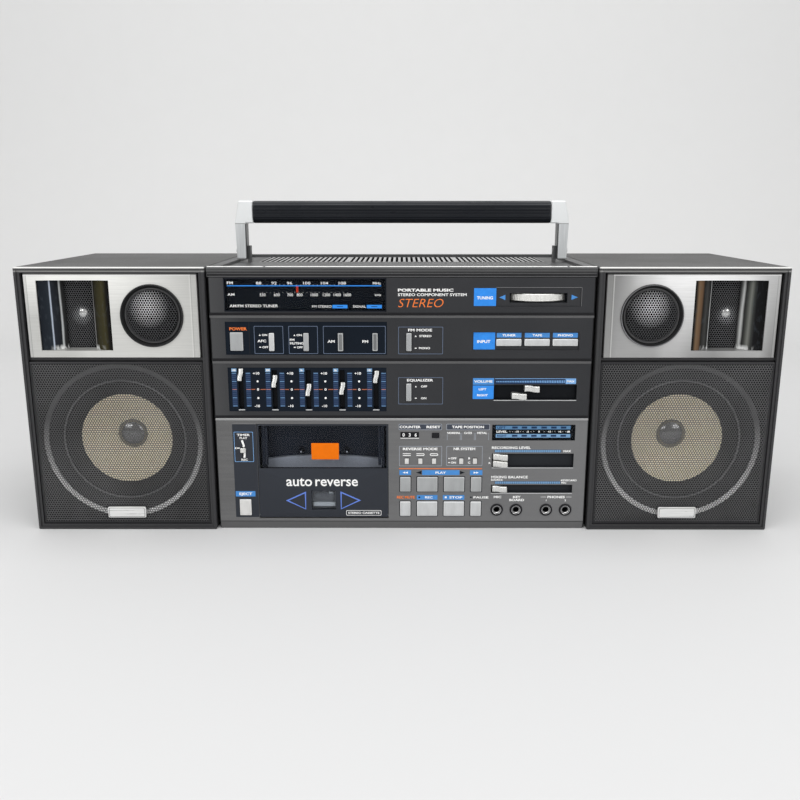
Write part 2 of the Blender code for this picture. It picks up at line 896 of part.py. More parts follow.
def lane_sliders():
    stem = (stem_length, stem_width)
    behind = boss_back + stem_behind
    size = (cap_width, lane_height(volume_pocket_height))
    names = ("left_volume_slider", "right_volume_slider")
    for name, z, share in zip(names, volume_lanes, volume_rest_shares):
        slider(name, right_x + share * volume_run, z, size, pocket_back, stem, behind)
    size = (cap_width, lane_height(level_pocket_height))
    stop_x = right_x + slider_stop_share * slider_run
    for name, z in zip(("left_level_slider", "right_level_slider"), level_lanes):
        slider(name, stop_x, z, size, pocket_back, stem, behind)
    size = (cap_width, lane_height(mixing_pocket_height, 1))
    slider("mixing_slider", stop_x, mixing_z, size, pocket_back, stem, behind)


def timer_lever():
    low, high = face_span(
        strip_x, timer_z, timer_cap_width, timer_cap_height, face_y - timer_cap_proud,
        face_y + inset_depth - fit_gap
    )
    lever = bevel(box("timer_lever", low, high), cap_round)
    stem = face_span(
        strip_x, timer_z, timer_slot_width - 2 * fit_gap, stem_length,
        face_y - cap_round, fascia_back + stem_behind
    )
    join(lever, boxes("timer_stem", [stem]))
    return paint(lever, "chrome_trim", (0.75, 0.75, 0.74), 0.12, 1.0)


def tuning_wheel():
    half = wheel_height / 2
    profile = [
        (0, half), (wheel_radius - edge_round, half), (wheel_radius, half - edge_round),
        (wheel_radius, edge_round - half), (wheel_radius - edge_round, -half), (0, -half)
    ]
    carrier = pivot("tuning_axis", (right_x, wheel_y, wheel_z))
    wheel = turned("tuning_wheel", profile, carrier.location, (0, 0, 0), 72)
    axle_reach = half + wheel_axle
    bottom = Vector((right_x, wheel_y, wheel_z - axle_reach))
    top = Vector((right_x, wheel_y, wheel_z + axle_reach))
    join(wheel, rod("tuning_axle", wheel_axle, bottom, top, steps=16))
    hang(wheel, carrier)
    return paint(wheel, "ribbed_aluminium", (0.70, 0.69, 0.66), 0.35, 0.9)


def dial_pointer():
    x = left_x + pointer_rest_share * dial_width
    back = face_y + dial_depth - fit_gap
    low, high = face_span(x, pointer_z, pointer_width, pointer_height, back - pointer_thickness, back)
    pointer = box("dial_pointer", low, high)
    foot = face_span(
        x, pointer_z, pointer_width, guide_height, back - pointer_thickness / 2,
        face_y + dial_depth + guide_depth - fit_gap
    )
    join(pointer, boxes("pointer_foot", [foot]))
    return paint(pointer, "pointer_red", (0.75, 0.06, 0.02), 0.40)


# Cassette deck
def cassette_door():
    front = face_y
    back = face_y + door_thickness
    low = (door_left, front, door_low)
    high = (door_left + door_width, back, door_high)
    door = bevel(box("cassette_door", low, high), edge_round / 2)
    window_low = door_high - door_window_height
    cut(door, boxes("door_window_recess", [
        (
            (door_left + door_window_recess, front - overrun, window_low),
            (
                door_left + door_width - door_window_recess, front + door_window_recess,
                door_high - door_window_recess
            )
        ),
    ]))
    join(door, rod(
        "door_pins", door_pin_radius,
        (door_left - fit_gap - door_pin_length, door_axis_y, door_axis_z),
        (door_left + door_width + fit_gap + door_pin_length, door_axis_y, door_axis_z), steps=12
    ))
    hang(door, pivot("door_axis", (door_x, door_axis_y, door_axis_z)))
    return paint(door, "smoked_plastic", (0.018, 0.018, 0.020), 0.15)


def deck_chassis():
    # A frame round the well, its back wall with the drive behind it, and the head block.
    outer_half = well_half + chassis_wall
    bottom = door_low + well_margin
    top = door_high + chassis_wall
    chassis = box(
        "deck_chassis", (door_x - outer_half, well_front, bottom - chassis_wall),
        (door_x + outer_half, well_back + mechanism_depth, top)
    )
    bevel(chassis, edge_round)
    cut(chassis, boxes("well", [
        ((door_x - well_half, well_front - overrun, bottom), (door_x + well_half, well_back, door_high)),
    ]))
    holes = [
        (door_x + side * spindle_spacing / 2, spindle_z, well_back + chassis_wall * 2,
         well_back - overrun) for side in (-1, 1)
    ]
    cut(chassis, rods("spindle_holes", spindle_shaft_radius + fit_gap, holes, steps=12))
    head_low = bottom + head_rise
    join(chassis, boxes("head_block", [
        (
            (door_x - head_width / 2, well_back - head_depth, head_low),
            (door_x + head_width / 2, well_back + overrun, head_low + head_height)
        ),
    ]))
    return paint(chassis, "deck_chassis_grey", (0.040, 0.040, 0.043), 0.55)


def spindle(name, side):
    seat = well_back - fit_gap
    tip = spindle_reach
    centre = (door_x + side * spindle_spacing / 2, seat, spindle_z)
    profile = [
        (0, tip), (spindle_radius - edge_round, tip), (spindle_radius, tip - 2 * edge_round),
        (spindle_radius, spindle_disc_thickness), (spindle_disc_radius, spindle_disc_thickness),
        (spindle_disc_radius, 0), (spindle_shaft_radius, 0),
        (spindle_shaft_radius, -chassis_wall), (0, -chassis_wall)
    ]
    piece = turned(name, profile, centre, front_turn, 24)
    fins = []
    for n in range(fin_count):
        low = Vector((0, -fin_width / 2, spindle_disc_thickness / 2))
        high = Vector((spindle_radius + fin_length, fin_width / 2, tip - 2 * edge_round))
        fin = box(f"{name}_fin_{n + 1}", low, high, cutters)
        turn = Matrix.Rotation(2 * math.pi * n / fin_count, 4, "Z")
        upright = Matrix.Translation(centre) @ Matrix.Rotation(math.pi / 2, 4, "X")
        fin.matrix_world = upright @ turn @ Matrix.Translation((low + high) / 2)
        fins.append(fin)
    join(piece, *fins)
    return black(piece)


# Case of the centre unit
def cabinet_shell():
    inner_half = half_width - side_wall
    shell = box(
        "cabinet_shell", (-half_width, shell_front, 0), (half_width, centre_back, shell_top)
    )
    bevel(shell, edge_round)
    cut(shell, boxes("shell_inside", [
        (
            (-inner_half, shell_front - overrun, floor_thickness),
            (inner_half, centre_back - back_wall, shell_top + overrun)
        ),
    ]))
    posts = []
    board_front = shell_front + board_margin
    board_back = centre_back - back_wall - board_margin
    post_x = inner_half - 2 * board_margin
    for x in (-post_x, post_x):
        for y in (board_front + board_margin, board_back - board_margin):
            posts.append(rod(
                f"board_post_{len(posts) + 1}", post_radius, (x, y, floor_thickness / 2),
                (x, y, board_height - fit_gap), steps=12
            ))
    join(shell, *posts)
    x, z = place(*inlet_place_shares, 0, body_height)
    join(shell, boxes("inlet_boss", [
        (
            (x - inlet_width / 2 - inlet_wall, centre_back - inlet_depth - inlet_wall,
             z - inlet_height / 2 - inlet_wall),
            (x + inlet_width / 2 + inlet_wall, centre_back - back_wall / 2,
             z + inlet_height / 2 + inlet_wall)
        ),
    ]))
    hatch = hatch_span(0)
    cut(shell, boxes("rear_holes", [
        (
            (x - inlet_width / 2, centre_back - inlet_depth, z - inlet_height / 2),
            (x + inlet_width / 2, centre_back + overrun, z + inlet_height / 2)
        ),
        (
            (hatch[0][0], centre_back - back_wall - overrun, hatch[0][2]),
            (hatch[1][0], centre_back + overrun, hatch[1][2])
        ),
    ]))
    grooves = []
    for side in (-1, 1):
        for y in (-tongue_offset, tongue_offset):
            outer = side * (half_width + overrun)
            inner = side * (half_width - tongue_depth - fit_gap)
            reach = tongue_width / 2 + fit_gap
            grooves.append((
                (min(outer, inner), y - reach, tongue_bottom - fit_gap),
                (max(outer, inner), y + reach, tongue_bottom + tongue_height + lift_travel + fit_gap)
            ))
    cut(shell, boxes("speaker_grooves", grooves))
    inside = centre_back - back_wall / 2
    eye_y = antenna_y - antenna_eye_thickness / 2
    join(shell, rod(
        "antenna_boss", antenna_boss_radius, (antenna_x, inside, antenna_z),
        (antenna_x, eye_y - fit_gap, antenna_z)
    ))
    join(shell, rod(
        "antenna_pin", antenna_pin_radius, (antenna_x, inside, antenna_z),
        (antenna_x, antenna_y + antenna_eye_thickness / 2 + fit_gap, antenna_z), steps=16
    ))
    clip_x = antenna_x - clip_share * antenna_length
    seat_z = antenna_z - antenna_radius - fit_gap
    lip_y = antenna_y + antenna_radius + fit_gap
    join(shell, boxes("antenna_clip", [
        (
            (clip_x - clip_width / 2, inside, seat_z - clip_wall),
            (clip_x + clip_width / 2, lip_y + clip_wall, seat_z)
        ),
    ]))
    join(shell, boxes("antenna_clip_lip", [
        (
            (clip_x - clip_width / 2, lip_y, seat_z - clip_wall / 2),
            (clip_x + clip_width / 2, lip_y + clip_wall, antenna_z)
        ),
    ]))
    return charcoal(shell)


def vent_slots():
    spans = []
    total = sum(vent_group_counts) * vent_pitch + (len(vent_group_counts) - 1) * vent_bar
    x = -total / 2
    for count in vent_group_counts:
        for _ in range(count):
            low = x + (vent_pitch - vent_width) / 2
            spans.append((
                (low, rim_y + vent_front, cover_bottom - overrun),
                (low + vent_width, centre_back - vent_rear, deck_level + overrun)
            ))
            x += vent_pitch
        x += vent_bar
    return boxes("vent_slots", spans)


def top_cover():
    band_low = band_bottom
    cover = box(
        "top_cover", (-half_width, face_y, cover_bottom), (half_width, centre_back, body_height)
    )
    bevel(cover, edge_round)
    join(cover, boxes("front_band", [
        ((-half_width, face_y, band_low), (half_width, fascia_back, body_height - edge_round)),
    ]))
    cut(cover, boxes("cover_recess", [
        (
            (-half_width + cover_border, face_y + cover_border, deck_level),
            (half_width - cover_border, centre_back - cover_border, body_height + overrun)
        ),
    ]))
    cut(cover, boxes("band_grooves", [
        (
            (-half_width - overrun, face_y - overrun, band_low + share * band_height),
            (half_width + overrun, face_y + band_groove, band_low + share * band_height + band_groove)
        ) for share in band_groove_shares
    ]))
    cut(cover, vent_slots())
    ear_high = handle_half_width - arm_width - fit_gap
    for side in (-1, 1):
        xs = sorted((side * ear_high, side * (ear_high - ear_thickness)))
        word = "left" if side < 0 else "right"
        low = (xs[0], -ear_half_depth, cover_bottom + cover_recess / 2)
        high = (xs[1], ear_half_depth, pivot_z + ear_half_depth)
        join(cover, box(f"{word}_ear", low, high, cutters))
    reach = handle_half_width
    cut(cover, rod(
        "ear_holes", pivot_radius + fit_gap, (-reach, 0, pivot_z), (reach, 0, pivot_z), steps=20
    ))
    return charcoal(cover)


def main_board():
    # Circuit board on the posts, with the transformer and the four jack bodies on it.
    inner_half = half_width - side_wall
    board_front = shell_front + board_margin
    board_back = centre_back - back_wall - board_margin
    top = board_height + board_thickness
    board = box(
        "main_board", (board_margin - inner_half, board_front, board_height),
        (inner_half - board_margin, board_back, top)
    )
    x = transformer_place_share * centre_width
    y = bay_front - transformer_gap - transformer_depth / 2
    middle = board_height + board_thickness / 2
    join(board, boxes("transformer", [
        (
            (x - transformer_width / 2, y - transformer_depth / 2, middle),
            (x + transformer_width / 2, y + transformer_depth / 2, top + transformer_height)
        ),
    ]))
    jack_front = shell_front
    jack_top = jack_z + jack_bore_radius + jack_wall
    join(board, boxes("jack_bodies", [
        (
            (x - jack_body_width / 2, jack_front, middle),
            (x + jack_body_width / 2, jack_front + jack_body_depth, jack_top)
        ) for x in jack_xs
    ]))
    cut(board, rods("jack_bores", jack_bore_radius, [
        (x, jack_z, jack_front + jack_body_depth - jack_wall, jack_front - overrun) for x in jack_xs
    ]))
    return paint(board, "circuit_board", (0.05, 0.13, 0.06), 0.60)


# Rear of the centre unit
def hatch_span(gap):
    half = bay_width / 2 - hatch_margin - gap
    low = bay_rise + hatch_margin + gap
    high = bay_rise + bay_height - hatch_margin - gap
    return (-half, centre_back - hatch_thickness, low), (half, centre_back, high)


def battery_box():
    back = centre_back - back_wall - fit_gap
    half = bay_width / 2 + bay_wall
    bay = box(
        "battery_box", (-half, bay_front, bay_rise - bay_wall),
        (half, back, bay_rise + bay_height + bay_wall)
    )
    cut(bay, boxes("battery_bay", [
        (
            (-bay_width / 2, bay_front + bay_wall, bay_rise),
            (bay_width / 2, back + overrun, bay_rise + bay_height)
        ),
    ]))
    return black(bay)


def battery_cover():
    low, high = hatch_span(fit_gap)
    cover = bevel(box("battery_cover", low, high), edge_round / 2)
    return charcoal(cover)


def antenna():
    carrier = pivot("antenna_axis", (antenna_x, antenna_y, antenna_z))
    tip_x = antenna_x - antenna_length
    half_eye = antenna_eye_thickness / 2
    tube_start = antenna_x - antenna_boss_radius - 2 * fit_gap
    tube = rod(
        "antenna_tube", antenna_radius, (tube_start, antenna_y, antenna_z),
        (tip_x, antenna_y, antenna_z), parts, 20
    )
    join(tube, rod(
        "antenna_eye", antenna_eye_radius, (antenna_x, antenna_y - half_eye, antenna_z),
        (antenna_x, antenna_y + half_eye, antenna_z)
    ))
    cut(tube, rod(
        "antenna_eye_hole", antenna_pin_radius + fit_gap,
        (antenna_x, antenna_y - 2 * half_eye, antenna_z),
        (antenna_x, antenna_y + 2 * half_eye, antenna_z), steps=16
    ))
    bore_end = antenna_x - 2 * antenna_eye_radius
    cut(tube, rod(
        "antenna_bore", antenna_bore, (bore_end, antenna_y, antenna_z),
        (tip_x - overrun, antenna_y, antenna_z), steps=20
    ))
    hang(tube, carrier)
    paint(tube, "chrome_trim", (0.75, 0.75, 0.74), 0.12, 1.0)
    inner = rod(
        "antenna_rod", antenna_rod_radius, (bore_end - fit_gap, antenna_y, antenna_z),
        (tip_x - antenna_tip_length / 2, antenna_y, antenna_z), parts, 16
    )
    join(inner, rod(
        "antenna_tip", antenna_radius, (tip_x - fit_gap, antenna_y, antenna_z),
        (tip_x - antenna_tip_length, antenna_y, antenna_z), steps=20
    ))
    hang(inner, carrier)
    return paint(inner, "chrome_trim", (0.75, 0.75, 0.74), 0.12, 1.0)


# Folding handle
def arm_outline(side):
    # Front view: a tapered end cap at the grip and a narrower arm down to the pivot.
    top_x = handle_half_width - handle_top_taper
    foot_x = handle_half_width - handle_foot_taper
    inner_top = grip_half_length + fit_gap
    inner_arm = handle_half_width - arm_width
    foot_z = pivot_z - grip_depth / 2
    points = [
        (inner_top, handle_top), (top_x, handle_top), (handle_half_width, knee_z + knee_rise),
        (foot_x, foot_z), (inner_arm, foot_z), (inner_arm, knee_z), (inner_top, knee_z)
    ]
    if side < 0:
        points = [(-x, z) for x, z in reversed(points)]
    return points


def handle_frame(carrier):
    half = arm_depth / 2
    frame = prism("handle_frame", arm_outline(-1), -half, half, front_turn)
    right_arm = prism("right_arm", arm_outline(1), -half, half, front_turn, cutters)
    bevel(right_arm, edge_round)
    bevel(frame, edge_round)
    join(frame, right_arm)
    grip_z = handle_top - grip_height / 2
    reach = grip_half_length + arm_width / 2
    join(frame, boxes("handle_core", [
        (
            (-reach, -core_height / 2, grip_z - core_height / 2),
            (reach, core_height / 2, grip_z + core_height / 2)
        ),
    ]))
    pin_end = handle_half_width - arm_width - fit_gap - ear_thickness
    pin_start = handle_half_width - arm_width / 2
    join(
        frame,
        rod("left_pivot_pin", pivot_radius, (-pin_start, 0, pivot_z), (-pin_end, 0, pivot_z), steps=20),
        rod("right_pivot_pin", pivot_radius, (pin_start, 0, pivot_z), (pin_end, 0, pivot_z), steps=20),
    )
    hang(frame, carrier)
    return paint(frame, "handle_silver", (0.55, 0.56, 0.57), 0.35, 0.6)


def handle_grip(carrier):
    outline = []
    half_depth = grip_depth / 2
    half_height = grip_height / 2
    centre_z = handle_top - half_height
    corners = ((1, 1, 0), (-1, 1, 1), (-1, -1, 2), (1, -1, 3))
    for along, up, quarter in corners:
        for step in range(5):
            angle = math.pi / 2 * (quarter + step / 4)
            outline.append((
                along * (half_depth - grip_corner) + grip_corner * math.cos(angle),
                centre_z + up * (half_height - grip_corner) + grip_corner * math.sin(angle)
            ))
    grip = prism("handle_grip", outline, -grip_half_length, grip_half_length, side_turn, sharp=50)
    bore = core_height / 2 + fit_gap
    reach = grip_half_length + overrun
    cut(grip, boxes("grip_bore", [
        ((-reach, -bore, centre_z - bore), (reach, bore, centre_z + bore)),
    ]))
    hang(grip, carrier)
    return paint(grip, "grip_rubber", (0.015, 0.016, 0.018), 0.55)


# Speakers
def tray(name, low, high, skin, group=parts):
    # A shallow pan: a front skin with walls that reach back to the baffle.
    pan = bevel(box(name, low, high, group), edge_round / 2)
    cut(pan, boxes(name + "_inside", [
        (
            (low[0] + tray_wall, low[1] + skin, low[2] + tray_wall),
            (high[0] - tray_wall, high[1] + overrun, high[2] - tray_wall)
        ),
    ]))
    return pan


def speaker_cabinet(side, word):
    x = side * speaker_x
    half = speaker_width / 2
    cabinet = box(
        f"{word}_cabinet", (x - half, rim_y, 0), (x + half, back_y, body_height)
    )
    bevel(cabinet, edge_round)
    front = rim_y - overrun
    step = half - rim_step_width
    cut(cabinet, boxes(f"{word}_rim_step", [
        (
            (x - step, front, rim_step_width),
            (x + step, rim_y + rim_step_depth, body_height - rim_step_width)
        ),
    ]))
    field = half - rim_width
    cut(cabinet, boxes(f"{word}_field", [
        ((x - field, front, rim_width), (x + field, rim_y + field_depth, body_height - rim_width)),
    ]))
    rail_low = grille_top + fit_gap
    rail_high = plate_bottom - fit_gap
    cut(cabinet, boxes(f"{word}_recesses", [
        ((x - field, front, rim_width), (x + field, baffle_y, rail_low)),
        ((x - field, front, rail_high), (x + field, baffle_y, body_height - rim_width)),
    ]))
    inner = half - speaker_wall
    cut(cabinet, boxes(f"{word}_inside", [
        (
            (x - inner, baffle_y + baffle_thickness, speaker_wall),
            (x + inner, back_y - speaker_wall, body_height - speaker_wall)
        ),
    ]))
    baffle_back = baffle_y + baffle_thickness + overrun
    mid_x = x - side * mid_offset
    horn_x = x + side * horn_offset
    cut(cabinet, rods(f"{word}_woofer_hole", woofer_hole_radius, [
        (x, woofer_rise, baffle_back, baffle_y - overrun),
    ], 48))
    cut(cabinet, rods(f"{word}_mid_hole", mid_body_radius + fit_gap, [
        (mid_x, plate_centre, baffle_back, baffle_y - overrun),
    ], 32))
    throat = horn_width / 2 + horn_wall + fit_gap
    cut(cabinet, boxes(f"{word}_horn_hole", [
        (
            (horn_x - throat, baffle_y - overrun, plate_centre - horn_height / 2 - horn_wall - fit_gap),
            (horn_x + throat, baffle_back, plate_centre + horn_height / 2 + horn_wall + fit_gap)
        ),
    ]))
    tongues = []
    inside = side * (half_width + speaker_gap + speaker_wall / 2)
    reach = side * (half_width - tongue_depth)
    for y in (-tongue_offset, tongue_offset):
        tongues.append((
            (min(inside, reach), y - tongue_width / 2, tongue_bottom),
            (max(inside, reach), y + tongue_width / 2, tongue_bottom + tongue_height)
        ))
    join(cabinet, boxes(f"{word}_tongues", tongues))
    return paint(cabinet, "cabinet_grey", (0.060, 0.060, 0.062), 0.55)


def horn_panel(side, word):
    # Brushed trim plate with a round hole, and the flared horn behind its window.
    x = side * speaker_x
    field = speaker_width / 2 - rim_width - plate_side_margin
    front = rim_y + plate_setback
    low = (x - field, front, plate_bottom)
    high = (x + field, baffle_y - fit_gap, plate_top)
    panel = tray(f"{word}_horn_panel", low, high, plate_skin)
    horn_x = x + side * horn_offset
    half_window = horn_width / 2
    flare = half_window - horn_throat_width / 2
    start = front + plate_skin / 2
    throat_back = start + horn_depth + horn_wall
    curve = []
    for step in range(9):
        angle = math.pi / 2 * step / 8
        across = half_window - flare * math.sin(angle)
        curve.append((across, start + horn_depth * (1 - math.cos(angle))))
    wall_out = half_window + horn_wall
    outline = [(horn_x - across, y) for across, y in curve]
    outline.extend((horn_x + across, y) for across, y in reversed(curve))
    shoulder = start + plate_skin / 4
    outline.extend([
        (horn_x + wall_out, shoulder), (horn_x + wall_out, throat_back),
        (horn_x - wall_out, throat_back), (horn_x - wall_out, shoulder)
    ])
    cut(panel, boxes(f"{word}_horn_window", [
        face_span(
            horn_x, plate_centre, horn_width, horn_height, front - overrun,
            front + plate_skin + overrun
        ),
    ]))
    half_height = horn_height / 2
    horn = prism(
        f"{word}_horn", outline, plate_centre - half_height - horn_wall / 2,
        plate_centre + half_height + horn_wall / 2, (0, 0, 0), cutters
    )
    join(panel, horn, boxes(f"{word}_horn_ends", [
        (
            (horn_x - wall_out, start, plate_centre + end * half_height - (end < 0) * horn_wall),
            (horn_x + wall_out, throat_back, plate_centre + end * half_height + (end > 0) * horn_wall)
        ) for end in (-1, 1)
    ]))
    join(panel, rod(
        f"{word}_horn_driver", horn_driver_radius, (horn_x, throat_back - horn_wall / 2, plate_centre),
        (horn_x, throat_back + horn_driver_depth, plate_centre)
    ))
    mid_x = x - side * mid_offset
    cut(panel, rods(f"{word}_mid_window", mid_radius + fit_gap, [
        (mid_x, plate_centre, front + plate_skin + overrun, front - overrun),
    ], 48))
    return paint(panel, "brushed_plate", (0.62, 0.63, 0.63), 0.32, 0.85)


def mid_unit(side, word):
    # Round unit in the plate: dark recess, thin ring, domed grille and the driver behind.
    seat = baffle_y - fit_gap
    top = seat - rim_y - plate_setback
    floor = top - mid_recess
    ring = mid_dome_radius + edge_round
    profile = []
    for step in range(7):
        angle = math.pi / 2 * step / 6
        profile.append((
            mid_dome_radius * math.sin(angle),
            floor + edge_round + mid_dome_height * math.cos(angle)
        ))
    profile[0] = (0, profile[0][1])
    profile.extend([
        (ring, floor + edge_round), (ring, floor), (mid_radius - 2 * edge_round, floor),
        (mid_radius - edge_round, top - edge_round), (mid_radius, top - edge_round),
        (mid_radius, 0), (mid_body_radius, 0), (mid_body_radius, -mid_body_depth),
        (0, -mid_body_depth)
    ])
    centre = (side * (speaker_x - mid_offset), seat, plate_centre)
    unit = turned(f"{word}_mid_unit", profile, centre, front_turn, 48)
    return paint(unit, "mid_grille_metal", (0.20, 0.20, 0.21), 0.35, 0.8)


def woofer_grille(side, word):
    x = side * speaker_x
    field = speaker_width / 2 - rim_width - fit_gap
    front = rim_y + grille_setback
    low = (x - field, front, grille_bottom)
    high = (x + field, baffle_y - fit_gap, grille_top)
    grille = tray(f"{word}_woofer_grille", low, high, grille_skin)
    badge_z = grille_bottom + badge_rise
    join(grille, boxes(f"{word}_badge", [
        face_span(
            x, badge_z, badge_width, badge_height, front - badge_proud, front + grille_skin / 2
        ),
    ]))
    return paint(grille, "grille_metal", (0.050, 0.051, 0.053), 0.50, 0.4)


def woofer(side, word):
    # Flange, surround, cone and dust cap in front; basket and magnet behind.
    seat = baffle_y - fit_gap
    cap_seat = -cone_depth * (1 - dust_cap_radius / cone_radius)
    profile = []
    for step in range(5):
        angle = math.pi / 2 * step / 4
        profile.append((
            dust_cap_radius * math.sin(angle), cap_seat + dust_cap_height * math.cos(angle)
        ))
    profile[0] = (0, profile[0][1])
    for step in range(7):
        angle = math.pi * step / 6
        profile.append((
            cone_radius + surround_width * step / 6, surround_height * math.sin(angle)
        ))
    flange_inner = cone_radius + surround_width + edge_round
    basket = woofer_hole_radius - 2 * fit_gap
    profile.extend([
        (flange_inner, woofer_flange), (woofer_radius - edge_round, woofer_flange),
        (woofer_radius, woofer_flange - edge_round), (woofer_radius, 0), (basket, 0),
        (basket, -baffle_thickness - overrun), (magnet_radius, -basket_depth),
        (magnet_radius, -basket_depth - magnet_depth), (0, -basket_depth - magnet_depth)
    ])
    centre = (side * speaker_x, seat, woofer_rise)
    driver = turned(f"{word}_woofer", profile, centre, front_turn, 64)
    return paint(driver, "cone_tan", (0.50, 0.42, 0.30), 0.70)


upper_fascia()
deck_fascia()
dial_window()
meter_window()
cabinet_shell()
top_cover()
deck_chassis()
main_board()
battery_box()
battery_cover()
upper_buttons()
deck_buttons()
equalizer_sliders()
lane_sliders()
timer_lever()
tuning_wheel()
dial_pointer()
cassette_door()
spindle("left_spindle", -1)
spindle("right_spindle", 1)
antenna()
handle_pivot = pivot("handle_axis", (0, 0, pivot_z))
handle_frame(handle_pivot)
handle_grip(handle_pivot)
for speaker_side, speaker_word in ((-1, "left"), (1, "right")):
    speaker_cabinet(speaker_side, speaker_word)
    horn_panel(speaker_side, speaker_word)
    mid_unit(speaker_side, speaker_word)
    woofer_grille(speaker_side, speaker_word)
    woofer(speaker_side, speaker_word)
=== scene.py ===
import math

import bmesh
import bpy
import numpy as np
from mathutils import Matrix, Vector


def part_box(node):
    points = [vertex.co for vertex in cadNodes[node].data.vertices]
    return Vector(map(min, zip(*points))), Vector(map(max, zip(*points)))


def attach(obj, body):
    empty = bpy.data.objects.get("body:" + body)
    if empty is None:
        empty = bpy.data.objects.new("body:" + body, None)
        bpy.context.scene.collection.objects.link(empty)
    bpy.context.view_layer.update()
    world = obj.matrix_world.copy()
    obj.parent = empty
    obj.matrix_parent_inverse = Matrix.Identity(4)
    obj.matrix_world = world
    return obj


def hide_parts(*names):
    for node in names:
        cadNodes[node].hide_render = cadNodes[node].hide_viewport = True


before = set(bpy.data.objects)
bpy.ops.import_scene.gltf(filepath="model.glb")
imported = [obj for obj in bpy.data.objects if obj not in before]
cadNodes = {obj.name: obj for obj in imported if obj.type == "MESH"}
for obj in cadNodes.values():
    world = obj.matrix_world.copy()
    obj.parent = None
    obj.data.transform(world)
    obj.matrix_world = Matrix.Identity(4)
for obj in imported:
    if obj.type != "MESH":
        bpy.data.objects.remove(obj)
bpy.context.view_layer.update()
print("frame loaded:", len(cadNodes), "parts")

mm = 0.001
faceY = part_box("upper_fascia")[0].y      # front of the centre unit
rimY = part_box("left_cabinet")[0].y       # front of the speakers
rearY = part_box("left_cabinet")[1].y      # and their back
insetY = faceY + 0.4 * mm                # floor of the dark insets
pocketY = faceY + 4.0 * mm               # floor of the slider pockets
inkLift = 0.05 * mm                      # print stands this far off its panel


# Camera: the photograph's viewpoint, a little above the top of the speakers
cameraView = {"place": (0.00025, -0.8388, 0.29637), "down": 13.194, "turn": 0.1413, "lens": 38.08}
cameraData = bpy.data.cameras.new("photoView")
cameraData.lens = cameraView["lens"]
cameraData.sensor_width = 36.0
cameraObject = bpy.data.objects.new("photoView", cameraData)
cameraObject.location = cameraView["place"]
cameraObject.rotation_euler = (
    math.radians(90 - cameraView["down"]), 0, math.radians(cameraView["turn"]))
bpy.context.scene.collection.objects.link(cameraObject)
bpy.context.scene.camera = cameraObject
bpy.context.scene.view_settings.view_transform = "Standard"
print("camera set")


# Shader wiring: a Wire is one socket, and arithmetic on it adds Math nodes
class Wire:
    def __init__(self, finish, socket):
        self.finish = finish
        self.socket = socket

    def maths(self, operation, *others):
        values = {n + 1: other for n, other in enumerate(others)}
        return self.finish.node("ShaderNodeMath", {"operation": operation}, {0: self, **values})

    def __add__(self, other): return self.maths("ADD", other)
    def __radd__(self, other): return self.maths("ADD", other)
    def __sub__(self, other): return self.maths("SUBTRACT", other)
    def __rsub__(self, other): return (self * -1).maths("ADD", other)
    def __mul__(self, other): return self.maths("MULTIPLY", other)
    def __rmul__(self, other): return self.maths("MULTIPLY", other)
    def __truediv__(self, other): return self.maths("DIVIDE", other)
    def __abs__(self): return self.maths("ABSOLUTE")
    def below(self, other): return self.maths("LESS_THAN", other)
    def above(self, other): return self.maths("GREATER_THAN", other)


def rgba(tint):
    # Three channels, or one number for a grey
    if isinstance(tint, Wire):
        return tint
    return (*tint, 1.0) if isinstance(tint, tuple) else (tint, tint, tint, 1.0)


